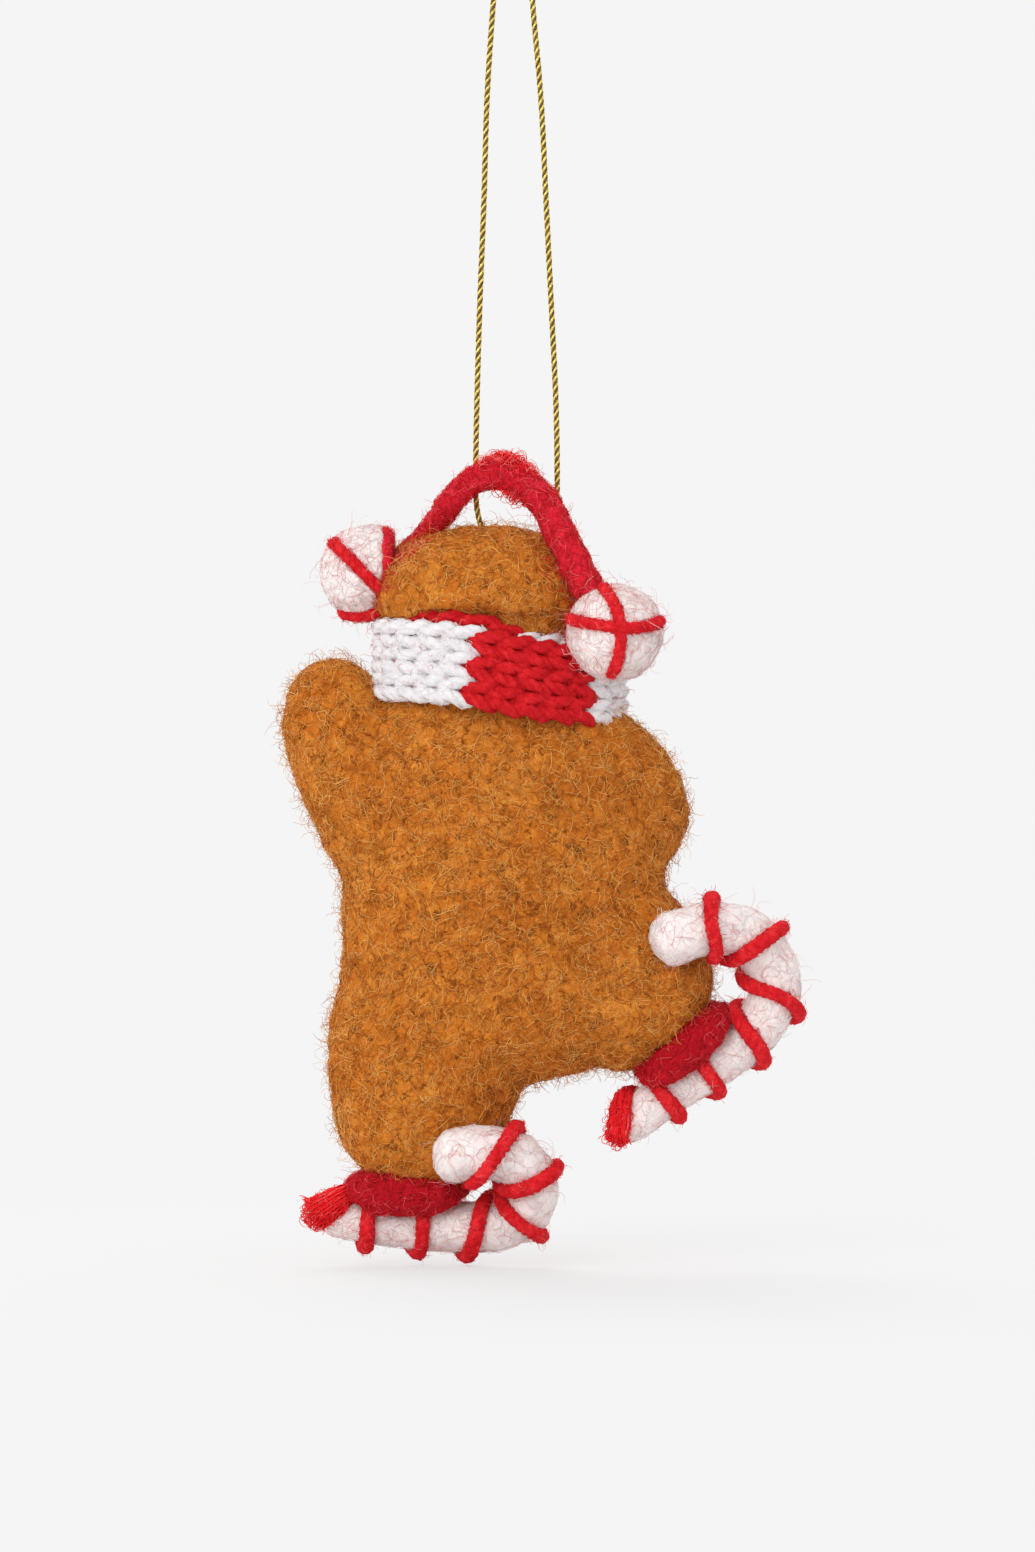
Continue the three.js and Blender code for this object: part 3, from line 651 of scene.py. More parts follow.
def share_at(table: Sequence[tuple[float, float]], places: Sequence[float]) -> Points:
    """Return a table's values at places, on smooth steps between its entries."""
    at, values = np.array(table, float).T
    places = np.clip(places, at[0], at[-1])
    after = np.clip(np.searchsorted(at, places), 1, len(at) - 1)
    before, beyond = np.maximum(np.arange(len(at)) - 1, 0), np.minimum(np.arange(len(at)) + 1, len(at) - 1)
    slopes = (values[beyond] - values[before]) / (at[beyond] - at[before])
    span = at[after] - at[after - 1]
    u = (places - at[after - 1]) / span
    rise = u * u * (3 - 2 * u)
    low, high = values[after - 1], values[after]
    leaving = u * (1 - u) ** 2 * span * slopes[after - 1]
    arriving = u * u * (u - 1) * span * slopes[after]
    return low + (high - low) * rise + leaving + arriving


def smooth(value: Points, low: float, high: float) -> Points:
    """Rise smoothly from 0 to 1 between two values."""
    share = np.clip((value - low) / (high - low), 0, 1)
    return share * share * (3 - 2 * share)


def round_off(distance: Points, cap: float) -> Points:
    """Return how much of its full size a form has near a rounded end."""
    inside = np.minimum(np.maximum(distance, 0) / cap, 1)
    return np.sqrt(1 - (1 - inside) ** 2)


def across_and_back(along: Points) -> tuple[Points, Points]:
    """Return the directions across a form and towards its back, square to its line."""
    back = np.array([0.0, 1.0, 0.0]) - along * along[:, 1:2]
    back = unit(back)
    return np.cross(back, along), back


@dataclass
class Run:
    """One tube: the points it follows, its radius at each, and its material's number."""

    points: Points
    radii: Points
    tone: int = 0


def linked(name: str, data: bpy.types.ID) -> bpy.types.Object:
    """Link data to the scene as an object."""
    thing = bpy.data.objects.new(name, data)
    bpy.context.scene.collection.objects.link(thing)
    return thing


def new_object(name: str, mesh: bpy.types.Mesh, smooth: bool = True) -> bpy.types.Object:
    """Link a mesh to the scene as a piece."""
    mesh.name = name
    mesh.polygons.foreach_set("use_smooth", [smooth] * len(mesh.polygons))
    return linked(name, mesh)


def meshed(name: str, form: bmesh.types.BMesh, smooth: bool = True) -> bpy.types.Object:
    """Make a bmesh a piece, and free it."""
    mesh = bpy.data.meshes.new(name)
    form.to_mesh(mesh)
    form.free()
    return new_object(name, mesh, smooth)


def evaluated(piece: bpy.types.Object) -> bpy.types.Mesh:
    """Return the mesh that an object's modifiers or curve make, and remove the object."""
    bpy.context.view_layer.update()
    graph = bpy.context.evaluated_depsgraph_get()
    mesh = bpy.data.meshes.new_from_object(piece.evaluated_get(graph))
    bpy.data.objects.remove(piece)
    return mesh


def tubes(name: str, runs: Sequence[Run], sides: int) -> bpy.types.Object:
    """Make one mesh of closed tubes.

    Args:
        name: the piece's name.
        runs: the tubes.
        sides: sides of each tube.

    Returns:
        The piece.
    """
    ring = bpy.data.curves.new(name + "_section", "CURVE")
    loop = ring.splines.new("POLY")
    loop.points.add(sides - 1)
    for number, point in enumerate(loop.points):
        angle = 2 * math.pi * number / sides
        point.co = (math.cos(angle), -math.sin(angle), 0, 1)
    loop.use_cyclic_u = True
    section = linked(name + "_section", ring)
    curve = bpy.data.curves.new(name, "CURVE")
    curve.dimensions = "3D"
    curve.bevel_mode = "OBJECT"
    curve.bevel_object = section
    curve.use_fill_caps = True
    for _ in range(1 + max(run.tone for run in runs)):
        curve.materials.append(None)
    for run in runs:
        spline = curve.splines.new("POLY")
        spline.points.add(len(run.points) - 1)
        places = np.hstack([run.points, np.ones((len(run.points), 1))])
        spline.points.foreach_set("co", places.ravel())
        spline.points.foreach_set("radius", np.broadcast_to(run.radii, len(run.points)).ravel())
        spline.material_index = run.tone
        spline.use_smooth = True
    mesh = evaluated(linked(name, curve))
    bpy.data.objects.remove(section)
    return new_object(name, mesh)


def framed(points: Points) -> tuple[Points, Points, Points]:
    """Return the directions along a line and two square to it, which don't twist about it."""
    along = unit(np.gradient(points, axis=0))
    side = unit(np.cross(along[0], [0.3, 0.5, 0.8]))
    sides = [side]
    for direction in along[1:]:
        side = side - direction * float(side @ direction)
        side = side / np.linalg.norm(side)
        sides.append(side)
    return along, np.array(sides), np.cross(along, np.array(sides))


def plied(run: Run, plies: int, lay: float, share: float = 0.56, tones: int = 1) -> list[Run]:
    """Twist plies round a run, as yarn or cord is spun.

    Args:
        run: the run that they follow.
        plies: how many.
        lay: the length of one full twist.
        share: each ply's radius as a share of the run's.
        tones: how many materials the plies take in turn, from the run's own up.

    Returns:
        The plies' runs.
    """
    points = run.points
    marks = marks_along(points)
    _, sides, ups = framed(points)
    radii = np.broadcast_to(run.radii, len(points))
    made = []
    for ply in range(plies):
        angle = (2 * math.pi * (marks / lay + ply / plies))[:, None]
        out = sides * np.cos(angle) + ups * np.sin(angle)
        tone = run.tone + ply % tones
        made.append(Run(points + out * (radii * (1 - share))[:, None], radii * share, tone))
    return made


def tone_of(draw: random.Random, weights: Weights) -> int:
    """Draw one of three tones."""
    return draw.choices((0, 1, 2), weights)[0]


def frayed(run: Run, loose: Loose, seed: int) -> list[Run]:
    """Open the first end of a run into loose fibres.

    Args:
        run: the bundle, with its radius at each point.
        loose: the fibres. Their length is how far the longest reach past the end.
        seed: the random source's seed.

    Returns:
        The fibres' runs, in three tones.
    """
    draw = random.Random(seed)
    along, sides, ups = framed(run.points)
    marks = np.linspace(0, 1, len(run.points))
    made = []
    for _ in range(loose.count):
        angle, out = draw.uniform(0, 2 * math.pi), math.sqrt(draw.random())
        way = sides * math.cos(angle) + ups * math.sin(angle)
        wave = np.sin(marks * draw.uniform(5, 14) + draw.uniform(0, 6)) * 0.2 * MM
        points = run.points + way * (run.radii * out + wave)[:, None]
        reach = loose.length * draw.random()
        curl = draw.gauss(0, 0.35) * sides[0] + draw.gauss(0, 0.35) * ups[0]
        tip = points[0] + (way[0] * 0.35 + curl - along[0]) * reach
        points = np.vstack([tip, (tip + points[0]) / 2 + curl * 0.3 * MM, points])
        radii = loose.thick * draw.uniform(0.7, 1.3) * np.minimum(1, 0.35 + np.linspace(0, 2, len(points)))
        made.append(Run(points, radii, tone_of(draw, loose.weights)))
    return made


def cloud(balls: Sequence[tuple[Points, float]], loose: Loose, seed: int, joints: int = 8) -> list[Run]:
    """Curl loose fibres up into a soft cloud.

    Args:
        balls: middles and radii of the balls that the cloud fills.
        loose: the fibres.
        seed: the random source's seed.
        joints: how many points a fibre has.

    Returns:
        The fibres' runs, in three tones.
    """
    draw = random.Random(seed)

    def wander(spread: float) -> Points:
        return np.array([draw.gauss(0, spread) for _ in range(3)])

    sizes = [size**2 for _, size in balls]
    made = []
    for _ in range(loose.count):
        middle, size = draw.choices(balls, sizes)[0]
        way = unit(wander(1))
        place = middle + way * size * draw.random() ** 0.4
        heading = unit(wander(1))
        points = [place]
        for _ in range(joints - 1):
            heading = unit(heading + wander(0.42))
            off = place - middle
            if float(np.linalg.norm(off)) > size:
                heading = unit(heading - unit(off) * 0.8)
            place = place + heading * loose.length / (joints - 1)
            points.append(place)
        radii = np.linspace(1, 0.5, joints) * loose.thick * draw.uniform(0.8, 1.3)
        made.append(Run(np.array(points), radii, tone_of(draw, loose.weights)))
    return made


def lumped(mesh: bpy.types.Mesh, lumps: Lumps, seed: float) -> None:
    """Push a mesh in and out along its normals into the soft lumps of felt.

    Args:
        mesh: the mesh, changed in place.
        lumps: the lumps.
        seed: moves the pattern.
    """
    shift = Vector((seed, seed * 1.7, -seed))
    for vertex, normal in zip(mesh.vertices, mesh.vertex_normals, strict=True):
        place = vertex.co / lumps.size + shift
        lift = noise.noise(place) + lumps.fine * noise.noise(place * 3)
        vertex.co += normal.vector * (lift * lumps.height)


def felted(name: str, nodes: Sequence[str], skin: Skin) -> bpy.types.Object:
    """Felt solids of the frame into one soft mass.

    Args:
        name: the piece's name.
        nodes: the solids.
        skin: how they swell, which closes the gaps between them, and are joined.

    Returns:
        The piece.
    """
    mass = bmesh.new()
    for node in nodes:
        part = bmesh.new()
        part.from_mesh(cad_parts[node].data)
        bmesh.ops.remove_doubles(part, verts=part.verts, dist=WELD)
        part.normal_update()
        for vertex in part.verts:
            vertex.co += vertex.normal * skin.grow
        swollen = bpy.data.meshes.new(node)
        part.to_mesh(swollen)
        mass.from_mesh(swollen)
        part.free()
        bpy.data.meshes.remove(swollen)
    return massed(name, mass, skin)


def massed(name: str, mass: bmesh.types.BMesh, skin: Skin) -> bpy.types.Object:
    """Join the forms of a bmesh into one soft skin, and free it."""
    lump = meshed(name, mass)
    joined = lump.modifiers.new("skin", "REMESH")
    joined.mode = "VOXEL"
    joined.voxel_size = skin.voxel
    soften = lump.modifiers.new("soften", "SMOOTH")
    soften.factor = 0.5
    soften.iterations = skin.smoothing
    finer = lump.modifiers.new("finer", "SUBSURF")
    finer.levels = finer.render_levels = 1
    return new_object(name, evaluated(lump))


@dataclass
class Fleece:
    """Loose fibres strewn over a felt surface."""

    surface: bpy.types.Object
    seed: int
    fuzz: Fuzz
    keep: Callable[[Vector], bool] | None = None
    # A standing fibre's steepest start in radians, and its length and thickness against a lying one's
    rise: float = 1.2
    shorter: float = 0.75
    thinner: float = 0.8
    triangles: Points = field(init=False)
    tree: BVHTree = field(init=False)

    def __post_init__(self) -> None:
        """Read the surface and index it."""
        mesh = self.surface.data
        mesh.calc_loop_triangles()
        corners = np.empty(len(mesh.loop_triangles) * 3, np.int32)
        mesh.loop_triangles.foreach_get("vertices", corners)
        places = np.empty(len(mesh.vertices) * 3, np.float32)
        mesh.vertices.foreach_get("co", places)
        places = places.reshape(-1, 3)
        self.triangles = places[corners.reshape(-1, 3)].astype(float)
        self.tree = BVHTree.FromPolygons(places.tolist(), corners.reshape(-1, 3).tolist())

    def roots(self) -> list[tuple[Vector, Vector]]:
        """Choose places for fibres, evenly by area.

        Returns:
            Each place with the surface's normal there.
        """
        count = self.fuzz.count
        chooser = np.random.default_rng(self.seed)
        first, second, third = (self.triangles[:, i] for i in range(3))
        normals = np.cross(second - first, third - first)
        areas = np.linalg.norm(normals, axis=1)
        picked = chooser.choice(len(areas), count, p=areas / areas.sum())
        u, v = chooser.random((2, count, 1))
        over = (u + v) > 1
        u, v = np.where(over, 1 - u, u), np.where(over, 1 - v, v)
        places = first[picked] + u * (second - first)[picked] + v * (third - first)[picked]
        out = unit(normals[picked])
        found = [(Vector(place), Vector(normal)) for place, normal in zip(places, out, strict=True)]
        return [pair for pair in found if self.keep is None or self.keep(pair[0])]

    def fibre(self, root: Vector, normal: Vector, draw: random.Random) -> Run:
        """Grow one fibre, lying on the surface or standing off it.

        Args:
            root: where it leaves the felt.
            normal: the surface's normal there.
            draw: the random source.

        Returns:
            The fibre's tube.
        """
        fuzz = self.fuzz
        standing = draw.random() < fuzz.halo
        length = fuzz.length * draw.uniform(0.5, 1.15) * (self.shorter if standing else 1)
        step = length / (fuzz.joints - 1)
        bend = draw.gauss(0, fuzz.curl)
        heading = normal.orthogonal().normalized()
        heading.rotate(Quaternion(normal, draw.uniform(0, 2 * math.pi)))
        climb = self.rise * draw.uniform(0.45, 1.0) if standing else 0.0
        point = root - normal * ROOT_DEPTH
        points = [point.copy()]
        for joint in range(1, fuzz.joints):
            heading.rotate(Quaternion(normal, bend + draw.gauss(0, 0.35)))
            if standing:
                point = point + (heading * math.cos(climb) + normal * math.sin(climb)) * step
                climb += draw.gauss(-0.34, 0.25)
            else:
                near, facing, _, _ = self.tree.find_nearest(point + heading * step)
                arch = math.sin(math.pi * joint / (fuzz.joints - 1))
                point = near + facing * (fuzz.lift * (0.15 + arch * draw.random()))
                normal = facing
                heading = (heading - facing * heading.dot(facing)).normalized()
            points.append(point.copy())
        taper = np.linspace(1, 0.45, fuzz.joints) * fuzz.radius * draw.uniform(0.75, 1.2)
        # Standing fibres take the tone weights reversed and favour the last tone, the lightest in brown and red:
        # painted light shining through the fibres at the rim
        tone = tone_of(draw, fuzz.weights[::-1] if standing else fuzz.weights)
        return Run(np.array(points), taper * (self.thinner if standing else 1), tone)

    def strewn(self, name: str, slot: Slot, pieces: int = 1) -> None:
        """Strew fibres and dress them.

        Args:
            name: the piece's name.
            slot: the record's slot.
            pieces: how many pieces of equal size they make, from the top down.
        """
        draw = random.Random(self.seed)
        roots = sorted(self.roots(), key=lambda root: -root[0].z)
        for number in range(pieces):
            share = roots[number * len(roots) // pieces : (number + 1) * len(roots) // pieces]
            runs = [self.fibre(root, normal, draw) for root, normal in share]
            piece = tubes(name if pieces == 1 else f"{name}_{number + 1}", runs, FIBRE_SIDES)
            DRESSER.dress(piece, self.fuzz.tones, slot)


# The ornament's sub-assemblies


@dataclass
class HangingCord:
    """The gold cord: its free loop, and the knot and strands that the head hides."""

    radius: float = 0.475 * MM
    lay: float = 2.7 * MM
    ply: float = 0.46
    length: float = 184 * MM
    knot_drop: float = 12 * MM
    knot_size: float = 0.42 * MM
    # Across and up, in mm, from one foot over the loop's top to the other
    route: tuple = (
        (5.3, -88.8), (5.75, -86.6), (5.95, -84), (5.92, -77.1), (5.76, -69.1), (5.28, -53.1), (4.64, -37.1),
        (4.16, -21.1), (3.36, -8.3), (3.05, -4.6), (2.75, -2.3), (1.75, -0.25), (0, 0.475), (-1.75, -0.25),
        (-2.75, -2.3), (-3.05, -4.6), (-3.36, -8.3), (-4.48, -21.1), (-5.28, -37.1), (-6.08, -53.1),
        (-6.85, -69.1), (-7.05, -78), (-7.05, -85), (-6.98, -88.6), (-6.9, -91.1),
    )

    def twisted(self, name: str, lines: Sequence[Points], body: Body, node: str) -> bpy.types.Object:
        """Twist two gold threads and two dark ones along each line; the dark ones paint the shade in the cord's
        grooves.

        Args:
            name: the piece's name.
            lines: the lines.
            body: the body that the piece rides on.
            node: the solid that it stands for.

        Returns:
            The piece.
        """
        runs = []
        for line in lines:
            runs += plied(Run(line, np.full(len(line), self.radius)), 4, self.lay, self.ply, 2)
        piece = tubes(name, runs, THREAD_SIDES)
        DRESSER.dress(piece, (GOLD, GROOVE_SHADE), Slot.CORD, node, body=body)
        return piece

    def build(self) -> None:
        """Make the loop and the buried knot."""
        points = np.array([(x, 0, z) for x, z in self.route], float) * MM
        line = Route(points)
        LOG.info("cord: %.1f mm", line.length / MM)
        loop = self.twisted("cord_loop", [line.spaced(1000)], Body.HANGER, "hanging_cord")
        2 * self.radius
        feet = (points[0], points[-1])
        knot = sum(feet) / 2
        knot[2] = min(foot[2] for foot in feet) - self.knot_drop
        turn = np.linspace(0, 2 * math.pi, 60)
        coil = np.stack([np.sin(turn) + 2 * np.sin(2 * turn), np.cos(turn) - 2 * np.cos(2 * turn), -np.sin(3 * turn)])
        strands = [Route([knot, (knot + foot) / 2, foot]).spaced(60) for foot in feet]
        self.twisted("cord_knot_strands", [knot + coil.T * self.knot_size, *strands], Body.FIGURE, "cord_knot")


@dataclass
class Gingerbread:
    """The felted figure: its body with its limbs, and its head."""

    cord_clear: float = 1.6 * MM
    limbs: tuple = ("torso", "arm_left", "arm_right", "leg_left", "leg_right")
    # The solids that fibres leave free, and how far round them, in mm
    bared: tuple = (("eye_left", 0.7), ("eye_right", 0.7), ("smile", 0.6), ("button_1", 0.9), ("button_2", 0.9))
    # Where the headband's red wool has rubbed off: middles and radii, in mm
    blushes: tuple = (
        ((20.5, 1.5, -98), 4.0), ((16.5, 3, -92.5), 3.0),
        ((-9, 9, -96), 3.6), ((-11.5, 9, -99.5), 3.6),
    )
    boxes: list[tuple[Vector, Vector]] = field(init=False, default_factory=list)

    def bare(self, place: Vector) -> bool:
        """Tell whether a fibre here leaves the cord's feet, the face and the buttons free."""
        feet = HangingCord.route[0], HangingCord.route[-1]
        if any((place - Vector((x, 0, z)) * MM).length < self.cord_clear for x, z in feet):
            return False
        return not any(all(low[i] < place[i] < high[i] for i in range(3)) for low, high in self.boxes)

    def blushing(self, place: Vector) -> bool:
        """Tell whether the headband's red wool has rubbed off on the head here."""
        return any((place - Vector(spot) * MM).length < reach * MM for spot, reach in self.blushes)

    def build(self) -> None:
        """Felt the body and the head, and strew their fibres."""
        for node, margin in self.bared:
            low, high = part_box(node)
            grown = Vector((margin, 3 * margin, margin)) * MM
            self.boxes.append((low - grown, high + grown))
        body = felted("body_felt", self.limbs, BODY_SKIN)
        head = felted("head_felt", ("head",), HEAD_SKIN)
        for piece, seed, nodes in ((body, 3.1, self.limbs), (head, 8.4, ("head",))):
            lumped(piece.data, BODY_LUMPS, seed)
            DRESSER.dress(piece, (BROWN,), Slot.BROWN, *nodes, padded=True)
        Fleece(body, 11, BODY_FUZZ, self.bare).strewn("body_fibres", Slot.BROWN, 4)
        Fleece(head, 13, HEAD_FUZZ, self.bare).strewn("head_fibres", Slot.BROWN)
        Fleece(head, 14, BLUSH_FUZZ, self.blushing).strewn("head_blush_fibres", Slot.RED)


@dataclass
class Scarf:
    """The knitted scarf: two turns and two tails of stockinette, three stitches wide."""

    width: float = 13.5 * MM
    knit: float = 12.4 * MM
    layer: float = 2.5 * MM
    middle: tuple = (2.6 * MM, -112 * MM)
    wide: float = 16.2 * MM
    deep: float = 10.9 * MM
    lift: float = 2 * MM
    slope: float = 0.07
    start: float = 20.0
    end: float = 692.0
    # The angle from one point of the line to the next, in the turns and as the tails count on
    step: float = 12.0
    tail_step: float = 10.0
    climbs: tuple = ((255, 318), (610, 670))
    tail_bend: float = 9 * MM
    tail_length: float = 20 * MM
    tail_splay: float = 78.0
    stand_off: float = 2 * MM
    lead: float = 1.4 * MM
    cut_length: float = 243.4 * MM
    stitch: float = 4.15 * MM
    selvedge: float = 0.3 * MM
    sunk: float = 0.12 * MM
    # How much shorter and narrower than the knit its backing is, then how thick, and how far behind
    trim: tuple = (1.5 * MM, 1.2 * MM)
    thin: float = 0.7 * MM
    behind: float = 0.4 * MM
    yarn: float = 1.17 * MM
    lay: float = 6 * MM
    softness: tuple = (0.6, 0.68)
    # The angles round the neck where the yarn changes, from scarlet to snow first
    changes: tuple = (38, 100, 188, 250, 313, 376, 438, 521.6, 589, 655)
    # Where the strip sags: from and to which angle it drops and comes up again, and how far
    sags: tuple = ((160, 200, 262, 322, 2.7 * MM), (512, 572, 600, 655, 1.9 * MM))
    # Across in stitch widths from its middle, along in stitches, and out in yarn radii
    half_loop: tuple = (
        (-0.5, -0.02, -0.75), (-0.3, -0.1, -0.7), (-0.13, 0.06, -0.15), (-0.2, 0.42, 0.4),
        (-0.31, 0.8, 0.4), (-0.4, 1.12, -0.1), (-0.3, 1.36, -0.7), (-0.12, 1.44, -0.85),
    )
    laid: tuple[Route, Points, Points, Points] = field(init=False)
    cloth: bpy.types.Object = field(init=False)

    def turn_at(self, degrees: Points) -> tuple[Points, Points]:
        """Return the strip's middle and its outward direction at angles round the neck."""
        angle = np.radians(degrees)
        layer = sum(smooth(degrees, *span) for span in self.climbs)
        wide, deep = self.wide + layer * self.layer, self.deep + layer * self.layer
        x = wide * np.sin(angle)
        up = self.middle[1] + self.slope * x + self.lift * (1 - layer)
        for low, down, back, high, depth in self.sags:
            up = up - depth * (smooth(degrees, low, down) - smooth(degrees, back, high))
        centre = np.stack([self.middle[0] + x, -deep * np.cos(angle), up], axis=1)
        out = unit(np.stack([np.sin(angle) / wide, -np.cos(angle) / deep, 0 * angle], axis=1))
        return centre, out

    def tail(self, degrees: float, side: int, lead: float, stand_off: float) -> tuple[Points, Points]:
        """Lay a tail that leaves the neck and hangs.

        Args:
            degrees: where round the neck it leaves.
            side: the way that it turns, -1 or 1 along X.
            lead: how far it stands forward as it crosses the collar.
            stand_off: how far it stands forward below the collar.

        Returns:
            The middle and the outward direction at points along it.
        """
        roots, outs = self.turn_at(np.array([degrees]))
        splay = math.radians(self.tail_splay)
        places, ways = [], []
        for step in np.linspace(1 / 6, 2, 12):
            share = min(step, 1)
            angle, drop = share * splay, max(step - 1, 0) * self.tail_length
            bent = np.array([side * math.sin(angle), 0, math.cos(angle) - 1]) * self.tail_bend
            down = np.array([side * math.cos(splay), 0, -math.sin(splay)]) * drop
            place = roots[0] + bent + down
            fallen = roots[0][2] - place[2]
            hung = float(smooth(np.array(fallen), self.tail_bend / 2, self.width))
            place[1] -= stand_off * hung + lead * share * (1 - hung)
            places.append(place)
            ways.append(unit(outs[0] * (1 - share) + np.array([0, -1, 0]) * share))
        return np.array(places), np.array(ways)

    def path(self) -> tuple[Route, Points, Points, Points]:
        """Lay the whole strip.

        Returns:
            Its line, then marks along it in metres with the outward direction and angle at each.
        """
        degrees = np.arange(self.start, self.end + 1, self.step)
        turns, outs = self.turn_at(degrees)
        first, first_outs = self.tail(degrees[0], -1, 0.0, self.stand_off)
        last, last_outs = self.tail(degrees[-1], 1, self.lead, 0.0)
        places = np.vstack([first[::-1], turns, last])
        ways = np.vstack([first_outs[::-1], outs, last_outs])
        before = degrees[0] - self.tail_step * np.arange(len(first), 0, -1)
        after = degrees[-1] + self.tail_step * np.arange(1, len(last) + 1)
        return Route(places, 3000), marks_along(places), ways, np.concatenate([before, degrees, after])

    def placed(self, local: Points) -> Points:
        """Carry points of the flat strip to their places round the neck.

        Args:
            local: along, across and out, in metres.

        Returns:
            The points in the frame.
        """
        line, marks, ways, _ = self.laid
        scale = line.length / marks[-1]
        share = local[:, 0] / line.length
        over = local[:, 0] - np.clip(local[:, 0], 0, line.length)
        along = line.along(np.clip(share, line.reach, 1 - line.reach))
        out = unit(np.stack([np.interp(local[:, 0], marks * scale, ways[:, i]) for i in range(3)], axis=1))
        up = unit(np.cross(out, along))
        return line.at(share) + along * over[:, None] + up * local[:, 1:2] + out * local[:, 2:3]

    def course(self, number: int, wale: float) -> Points:
        """Return one row of loops across the strip, as points along the flat strip."""
        half = np.array(self.half_loop)
        whole = np.vstack([half, (half * [-1, 1, 1])[::-1]])
        rows = [whole + [column, 0, 0] for column in (-1, 0, 1)]
        rows[0] = rows[0][1:]
        rows[-1] = rows[-1][:-1]
        points = np.vstack(rows)
        keep = np.concatenate([[True], np.linalg.norm(np.diff(points, axis=0), axis=1) > 1e-6])
        points = points[keep]
        out = points[:, 2] * self.yarn - self.sunk
        local = np.stack([(points[:, 1] + number) * self.stitch, points[:, 0] * wale, out], axis=1)
        return Route(local, 400).spaced(66)

    def backing(self, length: float) -> None:
        """Make the thin knit that lies behind the loops."""
        sheet = bmesh.new()
        bmesh.ops.create_cube(sheet, size=1)
        for axis, cuts in enumerate((260, 4)):
            edges = [edge for edge in sheet.edges if abs((edge.verts[0].co - edge.verts[1].co)[axis]) > 0.5]
            bmesh.ops.subdivide_edges(sheet, edges=edges, cuts=cuts, use_grid_fill=True)
        places = np.array([vertex.co for vertex in sheet.verts])
        flat = places * [length - self.trim[0], self.knit - self.trim[1], self.thin] + [length / 2, 0, -self.behind]
        for vertex, place in zip(sheet.verts, self.placed(flat), strict=True):
            vertex.co = place
        bmesh.ops.recalc_face_normals(sheet, faces=sheet.faces[:])
        self.cloth = meshed("scarf_backing", sheet)
        DRESSER.dress(self.cloth, (SCARLET_YARN, SNOW_YARN), Slot.SCARF, "scarf")
        for face in self.cloth.data.polygons:
            face.material_index = self.block(float(np.mean(flat[face.vertices, 0])))

    def block(self, along: float) -> int:
        """Return the yarn that the scarf has at a place: 0 for scarlet, 1 for snow."""
        line, marks, _, angles = self.laid
        angle = float(np.interp(along * marks[-1] / line.length, marks, angles))
        return sum(angle > change for change in self.changes) % 2

    def build(self) -> None:
        """Knit the scarf over its backing."""
        self.laid = self.path()
        line = self.laid[0]
        LOG.info("scarf: %.1f mm", line.length / MM)
        wale = (self.knit - self.selvedge) / 3
        courses = int(line.length / self.stitch - 0.5)
        self.stitch = line.length / (courses + 0.5)
        runs: tuple[list[Run], list[Run]] = ([], [])
        for number in range(courses):
            local = self.course(number, wale)
            run = Run(self.placed(local), np.full(len(local), self.yarn))
            block = self.block((number + 0.5) * self.stitch)
            runs[block].extend(plied(run, 3, self.lay, self.softness[block]))
        self.backing(line.length)
        snow = tubes("scarf_snow_stitches", runs[1], THREAD_SIDES)
        scarlet = tubes("scarf_scarlet_stitches", runs[0], THREAD_SIDES)
        Fleece(snow, 16, SNOW_FUZZ).strewn("scarf_snow_fibres", Slot.SCARF)
        Fleece(scarlet, 17, SCARLET_FUZZ).strewn("scarf_scarlet_fibres", Slot.SCARF)
        DRESSER.dress(snow, (SNOW_YARN,), Slot.SCARF)
        DRESSER.dress(scarlet, (SCARLET_YARN,), Slot.SCARF)


